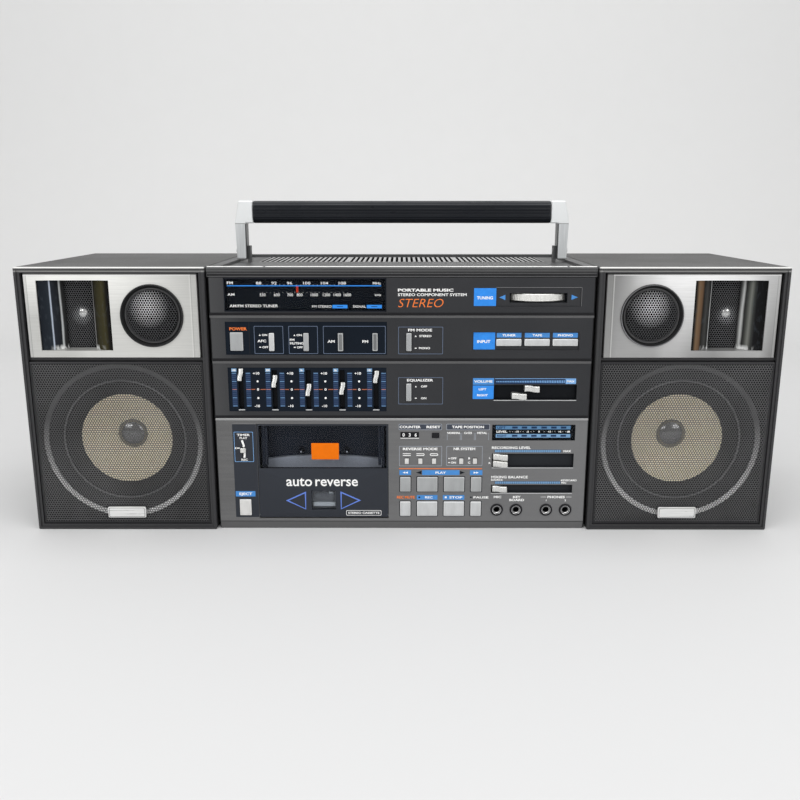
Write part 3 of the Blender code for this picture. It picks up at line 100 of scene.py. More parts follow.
class Finish:
    def __init__(self, name):
        self.material = bpy.data.materials.new(name)
        self.material.use_nodes = True
        self.tree = self.material.node_tree
        self.tree.nodes.clear()
        self.outlet = self.tree.nodes.new("ShaderNodeOutputMaterial")

    def node(self, kind, settings=None, sockets=None, output=0):
        made = self.tree.nodes.new(kind)
        for key, value in (settings or {}).items():
            if key == "stops":
                ramp = made.color_ramp
                for n, (place, tint) in enumerate(value):
                    stop = ramp.elements[n] if n < 2 else ramp.elements.new(place)
                    stop.position = place
                    stop.color = tint
            else:
                setattr(made, key, value)
        for key, value in (sockets or {}).items():
            if isinstance(value, Wire):
                self.tree.links.new(value.socket, made.inputs[key])
            else:
                made.inputs[key].default_value = value
        return Wire(self, made.outputs[output])

    def place(self, scale=(1, 1, 1)):
        spot = self.node("ShaderNodeTexCoord", output="Object")
        return self.node("ShaderNodeMapping", None, {"Vector": spot, "Scale": scale})

    def axis(self, name):
        spot = self.node("ShaderNodeTexCoord", output="Object")
        return self.node("ShaderNodeSeparateXYZ", None, {0: spot}, name)

    def noise(self, scale, detail=3.0, stretch=(1, 1, 1)):
        return self.node("ShaderNodeTexNoise", None, {
            "Vector": self.place(stretch), "Scale": scale, "Detail": detail, "Roughness": 0.5}, "Fac")

    def cells(self, scale, feature="F1"):
        return self.node("ShaderNodeTexVoronoi", {"feature": feature}, {
            "Vector": self.place(), "Scale": scale}, "Distance")

    def remap(self, value, low=0.3, high=0.7, toLow=0.0, toHigh=1.0):
        return self.node("ShaderNodeMapRange", None, {
            "Value": value, "From Min": low, "From Max": high, "To Min": toLow, "To Max": toHigh})

    def blend(self, mask, first, second):
        return self.node("ShaderNodeMix", {"data_type": "RGBA"}, {0: mask, 6: rgba(first), 7: rgba(second)}, 2)

    def layers(self, base, *rows):
        # Tints laid over a colour in turn, each as far as its mask goes
        for mask, tint in rows:
            base = self.blend(mask, base, tint)
        return base

    def between(self, value, low, high):
        # One inside a range given in millimetres, nought outside
        return value.above(low * mm) * value.below(high * mm)

    def ramp(self, value, *stops):
        # Colours along a value from nought to one
        return self.node("ShaderNodeValToRGB", {"stops": [(place, rgba(tint)) for place, tint in stops]},
                         {"Fac": value})

    def bump(self, height, depth):
        return self.node("ShaderNodeBump", None, {"Strength": 1.0, "Distance": depth, "Height": height}, "Normal")

    def surface(self, base, shine=0.5, **sockets):
        # A keyword names its socket, with underscores for spaces
        named = {key[0].upper() + key[1:].replace("_", " "): value for key, value in sockets.items()}
        shader = self.node("ShaderNodeBsdfPrincipled", None, {
            "Base Color": base, "Specular IOR Level": shine, **named})
        self.tree.links.new(shader.socket, self.outlet.inputs["Surface"])
        return self.material


def tone(colour, share):
    return tuple(min(1.0, channel * share) for channel in colour)


# Moulded or painted: a colour that drifts a little, fine grain and uneven gloss
def mouldedFinish(name, colour, rough=0.45, drift=0.12, grain=1500, depth=0.03 * mm, metal=0.0,
                  coat=0.0, sheen=0.10, shine=0.2):
    f = Finish(name)
    cloud = f.noise(14, 4)
    fine = f.noise(grain, 2)
    base = f.blend(f.remap(cloud), tone(colour, 1 - drift), tone(colour, 1 + drift))
    base = f.blend(f.remap(fine, 0.35, 0.65) * 0.35, base, tone(colour, 0.72))
    gloss = f.remap(f.noise(40, 5), 0.25, 0.75, rough - sheen / 2, rough + sheen / 2)
    return f.surface(
        base, roughness=gloss, metallic=metal, coat_Weight=coat,
        coat_Roughness=0.2, shine=shine, normal=f.bump(fine, depth))


# A key's cap: clear grain on its face, and a painted highlight on its rounded rim, lighter where its rim attribute
# rises to one
def keyFinish(name, face, lit, rough=0.36):
    f = Finish(name)
    rim = f.node("ShaderNodeAttribute", {"attribute_name": "rim"}, None, "Fac")
    fine, cloud = f.noise(1500, 2), f.noise(160, 3, (1, 1, 0.3))
    base = f.blend(f.remap(cloud), tone(face, 0.90), tone(face, 1.08))
    base = f.layers(
        base, (f.remap(fine, 0.35, 0.65) * 0.2, tone(face, 0.78)), (f.remap(rim, 0.02, 0.30), lit))
    return f.surface(base, roughness=f.remap(cloud, 0.3, 0.7, rough - 0.05, rough + 0.05),
                     shine=0.25, normal=f.bump(fine, 0.02 * mm))


# Brushed metal: streaks along one axis in colour, gloss and height
def brushedFinish(name, colour, stretch, rough=0.3, metal=1.0, depth=0.01 * mm, streak=0.10, grain=900):
    f = Finish(name)
    lines = f.noise(grain, 3, stretch)
    cloud = f.noise(9, 3)
    base = f.blend(f.remap(lines), tone(colour, 1 - streak), tone(colour, 1 + streak))
    base = f.blend(f.remap(cloud, 0.35, 0.7) * 0.4, base, tone(colour, 0.86))
    gloss = f.remap(lines, 0.2, 0.8, rough - 0.06, rough + 0.08)
    return f.surface(base, roughness=gloss, metallic=metal, normal=f.bump(lines, depth))


# Printed ink: a colour that drifts a little, nearly matt
def inkFinish(name, colour, rough=0.5, drift=0.06):
    f = Finish(name)
    cloud = f.noise(260, 3)
    base = f.blend(f.remap(cloud), tone(colour, 1 - drift), tone(colour, 1 + drift))
    return f.surface(base, shine=0.12,
                     roughness=f.remap(cloud, 0.2, 0.8, rough - 0.08, rough + 0.08))


# Bright metal with faint smears in colour and gloss
def chromeFinish(name, colour=(0.78, 0.78, 0.77), rough=0.10):
    f = Finish(name)
    smear = f.noise(55, 4)
    base = f.blend(f.remap(smear, 0.3, 0.75), colour, tone(colour, 0.88))
    return f.surface(base, metallic=1.0,
                     roughness=f.remap(smear, 0.25, 0.8, rough - 0.03, rough + 0.06))


def clearFinish(name, tint, shine=0.0, most=0.45):
    # See-through pane: transparent with a sheen that grows at grazing angles
    f = Finish(name)
    edge = f.node("ShaderNodeLayerWeight", None, {"Blend": 0.25}, "Fresnel")
    smear = f.noise(30, 4)
    clear = f.node("ShaderNodeBsdfTransparent", None, {"Color": (*tint, 1.0)})
    gloss = f.node("ShaderNodeBsdfGlossy", None, {
        "Color": (0.9, 0.92, 0.95, 1.0), "Roughness": f.remap(smear, 0.3, 0.8, 0.04, 0.12)})
    factor = f.remap(edge, 0.02, 1.0, shine, most)
    mixed = f.node("ShaderNodeMixShader", None, {0: factor, 1: clear, 2: gloss})
    f.tree.links.new(mixed.socket, f.outlet.inputs["Surface"])
    return f.material


# Speaker case: leather-grain vinyl behind a smooth moulded front frame, with painted highlight and shade lines across
# the frame's top and a painted highlight on its top edge
def cabinetFinish():
    f = Finish("cabinetVinyl")
    leather = f.remap(f.cells(620), 0.0, 0.75) * 0.7 + f.noise(420, 4) * 0.3
    depth, height = f.axis("Y"), f.axis("Z")
    front = depth.below(rimY + 12 * mm)
    cloud = f.noise(10, 4)
    vinyl = f.blend(f.remap(leather, 0.2, 0.8), 0.036, (0.074, 0.074, 0.073))
    vinyl = f.blend(f.remap(cloud, 0.35, 0.7) * 0.35, vinyl, (0.082, 0.081, 0.079))
    fine = f.noise(1500, 2)
    plastic = f.blend(f.remap(fine), (0.030, 0.030, 0.032), (0.042, 0.042, 0.044))
    # Painted light on the frame's stepped top: a lighter band, a highlight line and a shade line, and a bright
    # painted highlight along the top front edge
    near = depth.below(rimY + 4 * mm)
    plastic = f.blend(height.above(236.6 * mm) * near, plastic, (0.085, 0.085, 0.086))
    plastic = f.blend(f.between(height, 237.2, 238.2) * near, plastic, (0.26, 0.26, 0.255))
    plastic = f.blend(f.between(height, 238.9, 239.4) * near, plastic, (0.030, 0.030, 0.031))
    paint = f.blend(front, vinyl, plastic)
    paint = f.blend(near * height.above(240.25 * mm), paint, (0.72, 0.72, 0.70))
    # Rear board: smooth black panel inside a seam, a screw in each corner and one halfway up each side
    along, upright = abs(abs(f.axis("X")) - 254.25 * mm), abs(height - 120.6 * mm)
    board = depth.above(rearY - 0.3 * mm) * along.below(74 * mm) * upright.below(112 * mm)
    seam = along.above(73.2 * mm) + upright.above(111.2 * mm)
    sideways, upward = along - 66 * mm, f.node("ShaderNodeMath", {"operation": "MINIMUM"}, {
        0: upright, 1: abs(upright - 104 * mm)})
    apart = sideways * sideways + upward * upward
    cross = (abs(sideways).below(0.45 * mm) + abs(upward).below(0.45 * mm)) * apart.below(4 * mm * mm)
    paint = f.layers(
        paint, (board, f.blend(f.remap(cloud), (0.016, 0.016, 0.017), (0.024, 0.024, 0.025))),
        (board * seam, 0.004), (board * apart.below(14.5 * mm * mm), 0.005),
        (board * apart.below(10 * mm * mm), (0.20, 0.20, 0.205)), (board * cross, 0.008))
    # Painted shade on the walls inside the front recess, behind the rim
    shadedRecess = f.between(depth - rimY, 4, 12) * f.between(abs(f.axis("X")), 174.5, 333.5) * f.between(height, 3, 159)
    paint = f.blend(shadedRecess, paint, (0.005, 0.005, 0.0055))
    relief = leather * (1 - front) + fine * 0.12 * front
    return f.surface(
        paint, roughness=f.remap(cloud, 0.3, 0.7, 0.42, 0.54) - front * 0.06,
        shine=0.28, normal=f.bump(relief, 0.16 * mm))


# Deck front: grey metallic paint with a sparkle; painted light makes it a little lighter towards the right and near
# the bottom, with a painted shade line where the chin begins and the chin below darker
def deckFinish():
    f = Finish("deckPaint")
    streaks = f.noise(420, 3, (0.05, 1, 1))
    sparkle = f.noise(2600, 1)
    across, height = f.axis("X"), f.axis("Z")
    base = f.blend(f.remap(streaks), (0.110, 0.110, 0.111), (0.136, 0.136, 0.137))
    # Painted light to the right and near the bottom, a painted shade line at the chin's edge, the chin darker
    base = f.layers(
        base, (f.remap(across, -0.17, 0.17) * 0.75, (0.185, 0.186, 0.190)),
        (f.remap(height, 0.030, 0.008) * 0.35, (0.190, 0.190, 0.192)),
        (f.remap(sparkle, 0.52, 0.75) * 0.4, 0.24),
        (f.between(height, 6.9, 7.7), (0.045, 0.045, 0.046)), (height.below(6.9 * mm) * 0.5, (0.080, 0.080, 0.081)))
    return f.surface(
        base, metallic=0.30, roughness=f.remap(streaks, 0.2, 0.8, 0.36, 0.48),
        shine=0.3, normal=f.bump(sparkle, 0.015 * mm))


# What the plates mirror: shares of the way from the inner end to the outer, and a level for each
plateLevels = {
    "leftHigh": [(0.0, 0.58), (0.07, 0.60), (0.17, 0.71), (0.33, 0.84), (0.43, 0.92), (0.53, 0.98), (0.84, 0.98),
                 (0.95, 0.90)],
    "leftLow": [(0.0, 0.58), (0.07, 0.60), (0.17, 0.66), (0.65, 0.66), (0.75, 0.57), (1.0, 0.57)],
    "rightHigh": [(0.04, 0.21), (0.09, 0.28), (0.14, 0.40), (0.19, 0.59), (0.25, 0.72), (0.30, 0.85), (0.36, 0.96),
                  (0.57, 0.99), (0.70, 0.95), (0.80, 0.86), (0.86, 0.70), (0.91, 0.56), (1.0, 0.48)],
    "rightLow": [(0.04, 0.30), (0.09, 0.37), (0.30, 0.37), (0.36, 0.46), (0.44, 0.44), (0.50, 0.35), (0.64, 0.27),
                 (0.74, 0.36), (0.90, 0.41), (0.96, 0.24), (1.0, 0.22)],
}


def plateFinish():
    # Pale brushed plate: painted reflection levels run along it, high ones blend to low ones down it, fine lines over
    f = Finish("brushedPlate")
    lines = f.noise(1000, 3, (0.03, 1, 1))
    cloud = f.noise(22, 4, (1, 1, 0.5))
    across, height = f.axis("X"), f.axis("Z")
    away = abs(across)
    share = f.remap(away, 0.176, 0.332)
    level = {key: f.ramp(share, *[(place, (v, v, v * (0.965 if "left" in key else 1.0))) for place, v in stops])
             for key, stops in plateLevels.items()}
    warm = f.blend(f.remap(height, 0.197, 0.232), level["leftLow"], level["leftHigh"])
    shaded = f.blend(f.remap(height, 0.164, 0.234), level["rightLow"], level["rightHigh"])
    base = f.blend(across.above(0.0), warm, shaded)
    # Over them: a painted highlight and shade line at the inner fold with its strip painted darker, a dark line and a
    # dimmer band at the outer end, a painted highlight on the top edge and a painted shadow under the rim above it
    base = f.layers(
        base, (f.remap(cloud, 0.42, 0.75) * 0.16, (0.45, 0.445, 0.42)),
        (f.remap(lines, 0.35, 0.65) * 0.14, (0.30, 0.30, 0.29)),
        (f.between(away, 184.4, 185.3) * 0.4, (0.78, 0.78, 0.76)),
        (f.between(away, 183.4, 184.2) * 0.40, (0.22, 0.22, 0.21)),
        (f.between(away, 178.0, 183.4) * 0.20, (0.34, 0.34, 0.33)),
        (away.above(327.6 * mm) * 0.35, (0.46, 0.46, 0.455)),
        (f.between(away, 326.9, 327.6) * 0.4, 0.16),
        (f.between(height, 233.9, 234.6) * away.above(184 * mm) * 0.8, (0.80, 0.80, 0.79)),
        (f.between(height, 234.6, 236.0) * 0.85, (0.045, 0.045, 0.046)))
    return f.surface(
        base, metallic=0.55, roughness=f.remap(lines, 0.2, 0.8, 0.30, 0.46),
        shine=0.3, normal=f.bump(lines, 0.012 * mm))


def flareFinish(name, centre, half, *stops):
    # Polished flare: what it mirrors is painted in as upright bands that waver a little
    f = Finish(name)
    waver = f.noise(60, 4, (1, 1, 0.25)) - 0.5
    across = f.remap(f.axis("X") - centre, -half, half) + waver * 0.035
    base = f.ramp(across, *stops)
    spots = f.noise(330, 3, (1, 1, 0.4))
    base = f.blend(f.remap(spots, 0.55, 0.72) * 0.22, base, (0.07, 0.085, 0.10))
    # Painted glints near the throat, where the flares' lower ends mirror the floor
    floor = f.remap(f.axis("Z"), 0.1725, 0.1695) * f.remap(across, 0.12, 0.26) * f.remap(across, 0.90, 0.74)
    base = f.blend(floor * f.remap(spots, 0.42, 0.55), base, (0.85, 0.86, 0.85))
    return f.surface(base, shine=0.07, roughness=f.remap(spots, 0.3, 0.7, 0.10, 0.22))


def meshMetalFinish(name, dull, bright, lit, reach, metal=0.7):
    # Perforated metal: a painted highlight round one lit spot, dull away from it
    f = Finish(name)
    spot = f.node("ShaderNodeTexCoord", output="Object")
    apart = f.node("ShaderNodeVectorMath", {"operation": "DISTANCE"}, {0: spot, 1: lit}, "Value")
    grain = f.noise(900, 2)
    base = f.blend(f.remap(apart, reach, reach * 0.15), dull, bright)
    base = f.blend(f.remap(grain) * 0.3, base, tone(dull, 0.7))
    return f.surface(base, metallic=metal, shine=0.3,
                     roughness=f.remap(grain, 0.3, 0.7, 0.22, 0.38))


def ringFinish():
    # Woofer's trim ring: dull above, bright below where it catches the floor's light
    f = Finish("wooferRing")
    smear = f.noise(55, 4)
    base = f.blend(f.remap(f.axis("Z"), 0.105, 0.030), (0.11, 0.11, 0.112), 1.0)
    base = f.blend(f.remap(smear, 0.3, 0.75) * 0.2, base, 0.12)
    return f.surface(base, metallic=0.1, roughness=f.remap(smear, 0.25, 0.8, 0.2, 0.3),
                     shine=0.3)


def coneFinish():
    # Pressed paper: rings and fibres round the cone's axis
    f = Finish("paperCone")
    fibres = f.noise(520, 5)
    base = f.blend(f.remap(fibres), (0.90, 0.79, 0.60), (1.0, 0.93, 0.76))
    return f.surface(base, roughness=f.remap(fibres, 0.2, 0.8, 0.55, 0.75),
                     normal=f.bump(fibres, 0.08 * mm))


def boardFinish():
    # Circuit board: pale tracks along the borders of random cells
    f = Finish("circuitBoard")
    tracks = f.cells(260, "DISTANCE_TO_EDGE")
    base = f.blend(f.remap(tracks, 0.02, 0.06), (0.10, 0.22, 0.08), (0.03, 0.09, 0.04))
    return f.surface(base, roughness=f.remap(tracks, 0.0, 0.1, 0.35, 0.6))


def fasciaFinish():
    # Charcoal fascia: a window's light fades in at the left end
    f = Finish("charcoalPlastic")
    fine, cloud = f.noise(1700, 2), f.noise(14, 4)
    base = f.blend(f.remap(cloud), (0.026, 0.027, 0.030), (0.032, 0.033, 0.036))
    base = f.layers(
        base, (f.remap(f.axis("X"), -0.140, -0.172), (0.066, 0.067, 0.069)),
        (f.remap(fine, 0.35, 0.65) * 0.3, (0.026, 0.026, 0.029)))
    return f.surface(base, roughness=f.remap(cloud, 0.25, 0.75, 0.36, 0.48),
                     shine=0.2, normal=f.bump(fine, 0.02 * mm))


def coverFinish():
    # Top cover: satin plastic, with a painted highlight on the bars between the vent slots and painted shade in the
    # slots
    f = Finish("coverPlastic")
    fine, cloud = f.noise(1700, 2), f.noise(18, 4)
    across, depth = f.axis("X"), f.axis("Y")
    base = f.blend(f.remap(cloud), (0.070, 0.071, 0.073), (0.088, 0.089, 0.090))
    vents = f.between(abs(across), -1, 140.3) * f.between(depth, 3.5, 73.5) * f.axis("Z").above(237.6 * mm)
    # Painted highlight on the vent bars, brightest in the middle; painted shade on the slots' walls and below them,
    # and on the ears that stand above the top
    normal = f.node("ShaderNodeNewGeometry", output="Normal")
    walls = f.node("ShaderNodeSeparateXYZ", None, {0: normal}, "Z").below(0.5)
    glow = f.remap(abs(across), 0.15, 0.02, 0.46, 0.58)
    base = f.layers(
        base, (vents, f.blend(glow, (0, 0, 0), (1, 1, 1))), (vents * walls, (0.020, 0.020, 0.021)),
        (f.axis("Z").below(237.4 * mm), (0.014, 0.014, 0.015)),
        (f.axis("Z").above(242.0 * mm), (0.044, 0.046, 0.048)),
        (f.remap(fine, 0.35, 0.65) * 0.25, (0.066, 0.066, 0.068)))
    return f.surface(base, roughness=f.remap(cloud, 0.25, 0.75, 0.38, 0.5),
                     shine=0.35, normal=f.bump(fine, 0.03 * mm))


def handleFinish():
    # Silver frame: bright moulded end caps above brushed arms, the arms' inner sides in shade
    f = Finish("armSilver")
    lines = f.noise(900, 3, (1, 1, 0.04))
    across, height = abs(f.axis("X")), f.axis("Z")
    base = f.blend(f.remap(lines), (0.56, 0.58, 0.59), (0.68, 0.70, 0.71))
    base = f.layers(
        base, (height.above(276.2 * mm), (0.84, 0.86, 0.865)),
        (across.below(151.2 * mm) * height.below(275.8 * mm), (0.085, 0.088, 0.090)),
        (f.between(height, 275.4, 276.1), (0.30, 0.305, 0.31)))
    return f.surface(base, metallic=0.25, shine=0.35,
                     roughness=f.remap(lines, 0.2, 0.8, 0.30, 0.42), normal=f.bump(lines, 0.01 * mm))


def gripFinish():
    # Soft black grip: light catches on a few of its lengthwise ribs, most of all at the top
    f = Finish("gripRubber")
    height = f.axis("Z")
    glintAndGloss = f.noise(35, 4, (0.3, 1, 1))
    fine = f.noise(900, 2)
    base = f.blend(f.remap(fine), (0.0045, 0.0055, 0.0085), (0.008, 0.010, 0.014))
    # Painted highlights along a few ribs, strongest at the top
    for z0, z1, glint in ((295.6, 296.9, 0.070), (293.6, 294.3, 0.080), (289.8, 290.3, 0.048), (286.6, 286.9, 0.024),
                          (283.6, 284.0, 0.044), (279.4, 279.8, 0.020)):
        mask = f.between(height, z0, z1) * f.remap(glintAndGloss, 0.35, 0.6, 0.45, 1.0)
        base = f.blend(mask, base, (glint, glint * 1.05, glint * 1.12))
    return f.surface(base, roughness=f.remap(glintAndGloss, 0.3, 0.7, 0.24, 0.36),
                     shine=0.22, normal=f.bump(fine, 0.015 * mm))


charcoal = fasciaFinish()
coverGrey = coverFinish()
blackPlastic = mouldedFinish("blackPlastic", (0.010, 0.010, 0.012), 0.38, 0.15)
insetNavy = mouldedFinish("insetNavy", (0.0065, 0.0105, 0.0175), 0.34, 0.14, 900, 0.01 * mm, shine=0.08)
dialBlack = mouldedFinish("dialBlack", (0.0040, 0.0060, 0.0095), 0.34, 0.14, 900, 0.01 * mm, shine=0.05)
pocketBlack = mouldedFinish("pocketBlack", (0.0065, 0.0075, 0.0095), 0.35, 0.12, shine=0.08)
pocketGrey = mouldedFinish("pocketGrey", (0.020, 0.022, 0.026), 0.35, 0.12, shine=0.12)
doorGrey = mouldedFinish("doorPlastic", (0.029, 0.033, 0.042), 0.36, 0.08, 1800, 0.012 * mm, shine=0.2)
deckPaint = deckFinish()
vinyl = cabinetFinish()
grilleBlack = mouldedFinish("grillePaint", (0.115, 0.115, 0.117), 0.36, 0.30, 900, 0.02 * mm, 0.3, shine=0.15)
capChrome = chromeFinish("capChrome", (0.34, 0.34, 0.345), 0.12)
shellPlastic = mouldedFinish("shellPlastic", (0.052, 0.053, 0.056), 0.46, 0.10, 1600, 0.05 * mm)
voidBlack = mouldedFinish("voidBlack", (0.0035, 0.0035, 0.0038), 0.8, 0.2, 700, 0.1 * mm, shine=0.03)
# Mid units' trim ring: dark, with a painted highlight round one point
glintedRim = meshMetalFinish("glintedRim", (0.020, 0.020, 0.022), (0.22, 0.22, 0.23), (0.2, -0.1, 0.17), 0.10, 0.2)
frameBlack = mouldedFinish("grilleFrame", (0.026, 0.026, 0.028), 0.34, 0.12, 1200, 0.02 * mm)
plateMetal = plateFinish()
chrome = chromeFinish("brightChrome")
ringChrome = chromeFinish("ringChrome", (0.62, 0.62, 0.62), 0.18)
wooferRing = ringFinish()
paperCone = coneFinish()
rubberRoll = mouldedFinish("surroundRubber", (0.014, 0.014, 0.015), 0.55, 0.2, 500, 0.05 * mm)
basketPaint = mouldedFinish("basketPaint", (0.018, 0.018, 0.020), 0.42, 0.15)
feltDark = mouldedFinish("dampingFelt", (0.026, 0.026, 0.027), 0.80, 0.30, 700, 0.25 * mm, shine=0.15)
buttonPale = mouldedFinish("buttonPale", (0.52, 0.53, 0.535), 0.36, 0.05, 1300, 0.012 * mm, shine=0.4)
keyGrey = keyFinish("keyGrey", (0.36, 0.37, 0.375), (0.58, 0.59, 0.59))
keyPale = keyFinish("keyPale", (0.53, 0.54, 0.545), (0.84, 0.85, 0.85))
keyDark = keyFinish("keyDark", (0.160, 0.165, 0.167), (0.42, 0.43, 0.43))
keyBright = keyFinish("keyBright", (0.66, 0.655, 0.64), (0.86, 0.86, 0.84))
sliderSilver = brushedFinish("sliderSilver", (0.74, 0.74, 0.72), (1, 1, 0.06), 0.26, 0.85)
wheelSilver = brushedFinish("wheelSilver", (0.86, 0.855, 0.82), (1, 1, 0.08), 0.30, 0.75)
handlePaint = handleFinish()
gripBlack = gripFinish()
boardGreen = boardFinish()
inkWhite = inkFinish("printWhite", (0.90, 0.90, 0.89))
inkBlue = inkFinish("printBlue", (0.036, 0.250, 0.76), 0.42)
inkSoft = inkFinish("printSoftBlue", (0.070, 0.250, 0.60), 0.45)
inkPale = inkFinish("printPaleBlue", (0.20, 0.40, 0.72), 0.45)
inkViolet = inkFinish("printViolet", (0.130, 0.225, 0.66), 0.45)
inkSky = inkFinish("printSkyBlue", (0.17, 0.32, 0.52), 0.45)
inkMeter = inkFinish("printMeterBlue", (0.095, 0.21, 0.37), 0.45)
inkDeep = inkFinish("printDeepBlue", (0.015, 0.034, 0.085), 0.45)
inkRung = inkFinish("printRung", (0.055, 0.085, 0.150))
inkLine = inkFinish("printOutline", (0.120, 0.155, 0.225))
inkGrey = inkFinish("printGrey", (0.40, 0.41, 0.41))
inkOrange = inkFinish("printOrange", (0.86, 0.205, 0.045))
inkRust = inkFinish("printRust", (0.46, 0.140, 0.070))
inkDark = inkFinish("printDark", (0.008, 0.010, 0.015))
labelOrange = inkFinish("orangeLabel", (0.80, 0.165, 0.001), 0.38, 0.03)
lineSilver = brushedFinish("trimSilver", (0.78, 0.78, 0.77), (0.05, 1, 1), 0.24, 0.6)
lipGrey = mouldedFinish("lipGrey", (0.090, 0.090, 0.092), 0.34, 0.10, shine=0.4)
badgeMetal = brushedFinish("badgeMetal", (0.80, 0.80, 0.79), (0.05, 1, 1), 0.30, 0.5)
pointerRed = inkFinish("pointerRed", (0.85, 0.05, 0.015), 0.3)
paneClear = clearFinish("clearPane", (0.94, 0.96, 0.98), 0.004)
paneSmoked = clearFinish("smokedPane", (0.82, 0.84, 0.88), 0.006)
print("finishes made")


# Meshes: every new piece is arrays of points and faces
def meshPiece(name, points, faces, finish, body="centre_unit", smooth=True, weld=False, toward=None, crisp=35):
    mesh = bpy.data.meshes.new(name)
    mesh.from_pydata(np.asarray(points, float), [], faces.tolist() if hasattr(faces, "tolist") else faces)
    if weld:
        work = bmesh.new()
        work.from_mesh(mesh)
        bmesh.ops.remove_doubles(work, verts=work.verts, dist=0.002 * mm)
        bmesh.ops.dissolve_degenerate(work, edges=work.edges, dist=0.001 * mm)
        bmesh.ops.recalc_face_normals(work, faces=work.faces)
        work.to_mesh(mesh)
        work.free()
    if toward is not None:
        normals = np.zeros(len(mesh.polygons) * 3)
        mesh.polygons.foreach_get("normal", normals)
        if (normals.reshape(-1, 3) @ np.array(toward, float)).sum() < 0:
            mesh.flip_normals()
    if smooth:
        mesh.shade_smooth()
        mesh.set_sharp_from_angle(angle=math.radians(crisp))
    mesh.materials.append(finish)
    piece = bpy.data.objects.new(name, mesh)
    bpy.context.scene.collection.objects.link(piece)
    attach(piece, body)
    return piece


# Four-sided faces of a grid of points: each joins its point to the next in its row and column
def gridFaces(rows, columns, wrapRows=False, wrapColumns=False, start=0):
    r, c = np.meshgrid(
        np.arange(rows if wrapRows else rows - 1), np.arange(columns if wrapColumns else columns - 1),
        indexing="ij")
    rNext = (r + 1) % rows
    cNext = (c + 1) % columns
    corners = [r * columns + c, r * columns + cNext, rNext * columns + cNext, rNext * columns + c]
    return np.stack(corners, -1).reshape(-1, 4) + start


def gather(shapes):
    # Several (points, faces) pairs as one
    points, faces, start = [], [], 0
    for shapePoints, shapeFaces in shapes:
        points.append(np.asarray(shapePoints, float))
        faces.extend((np.asarray(shapeFaces) + start).tolist())
        start += len(shapePoints)
    return np.concatenate(points), faces


def flatPiece(name, shapes, finish, body="centre_unit", toward=(0, -1, 0)):
    return meshPiece(name, *gather(shapes), finish, body, smooth=False, toward=toward)


def weldedPiece(name, shapes, finish, body="centre_unit", crisp=35):
    return meshPiece(name, *gather(shapes), finish, body, weld=True, crisp=crisp)


def latheShape(profile, centre, steps=96, axis="front"):
    # Radius and reach pairs in millimetres, turned round an axis: point = centre + radius (cos a, sin a) + reach
    profile = np.array(profile, float) * mm
    angle = np.linspace(0, 2 * math.pi, steps, endpoint=False)
    radius, reach = profile[:, :1], profile[:, 1:2] + 0 * angle[None]
    across, up = radius * np.cos(angle), radius * np.sin(angle)
    if axis == "front":
        grid = np.stack([across, -reach, up], -1)
    elif axis == "side":
        grid = np.stack([reach, across, up], -1)
    else:
        grid = np.stack([across, up, reach], -1)
    return grid.reshape(-1, 3) + np.array(centre, float), gridFaces(len(profile), steps, False, True)


# A turned piece, its doubles at the axis merged
def lathe(name, profile, centre, finish, body, steps=96, axis="front", crisp=35):
    points, faces = latheShape(profile, centre, steps, axis)
    return meshPiece(name, points, faces, finish, body, weld=True, crisp=crisp)


def roundedOutline(width, height, corner, steps=4):
    # Rounded rectangle: four quarter circles of the corner radius, joined by straight runs
    corner = max(min(corner, width / 2 - 1e-6, height / 2 - 1e-6), 1e-6)
    turn = (np.arange(4)[:, None] + np.linspace(0, 1, steps + 1)[None]) * math.pi / 2
    signX = np.array([1, -1, -1, 1])[:, None]
    signZ = np.array([1, 1, -1, -1])[:, None]
    x = signX * (width / 2 - corner) + corner * np.cos(turn)
    z = signZ * (height / 2 - corner) + corner * np.sin(turn)
    return np.stack([x.ravel(), z.ravel()], -1)


def upright(flat, y, x=0.0, z=0.0):
    # Flat points stood up at one depth
    return np.stack([flat[:, 0] + x, np.full(len(flat), y), flat[:, 1] + z], -1)


def stackedOutlines(x, z, width, height, levels, corner, steps):
    # A rounded outline at each (inset, y) level
    return [upright(roundedOutline(width - 2 * inset, height - 2 * inset, corner - inset, steps), y, x, z)
            for inset, y in levels]


def capShape(x, z, width, height, levels, corner, steps=4):
    # Outlines stacked from back to front, both ends closed to a point
    rings = stackedOutlines(x, z, width, height, levels, corner, steps)
    first, last = (np.tile([x, levels[n][1], z], (len(rings[0]), 1)) for n in (0, -1))
    return np.concatenate([first, *rings, last]), gridFaces(len(levels) + 2, len(first), False, True)


def ringShape(rows, steps=5):
    # Rounded outlines of (width, height, corner, x, z, y), joined in a ring
    rings = [upright(roundedOutline(width, height, corner, steps), y, x, z)
             for width, height, corner, x, z, y in rows]
    return np.concatenate(rings), gridFaces(len(rings), len(rings[0]), True, True)


def barShape(low, high, rounding=0.2 * mm):
    # A rounded bar between two corners, its long edges chamfered by rounding
    (x0, y0, z0), (x1, y1, z1) = low, high
    levels = [(0, y1), (0, y0 + rounding), (rounding, y0)]
    return capShape((x0 + x1) / 2, (z0 + z1) / 2, x1 - x0, z1 - z0, levels, rounding, 1)


# One four-sided face that looks forward
def sheetShape(x0, x1, z0, z1, y):
    return np.array([(x0, y, z0), (x1, y, z0), (x1, y, z1), (x0, y, z1)]), [(0, 1, 2, 3)]


# Print: flat shapes and words, gathered by ink and carrier into one piece each
prints = {}


# Shapes wait here until each ink and body get their one piece
def printShape(ink, body, points, faces):
    prints.setdefault((ink, body), []).append((points, faces))


def panel(ink, x0, x1, z0, z1, y, body="centre_unit"):
    printShape(ink, body, *sheetShape(x0 * mm, x1 * mm, z0 * mm, z1 * mm, y - inkLift))


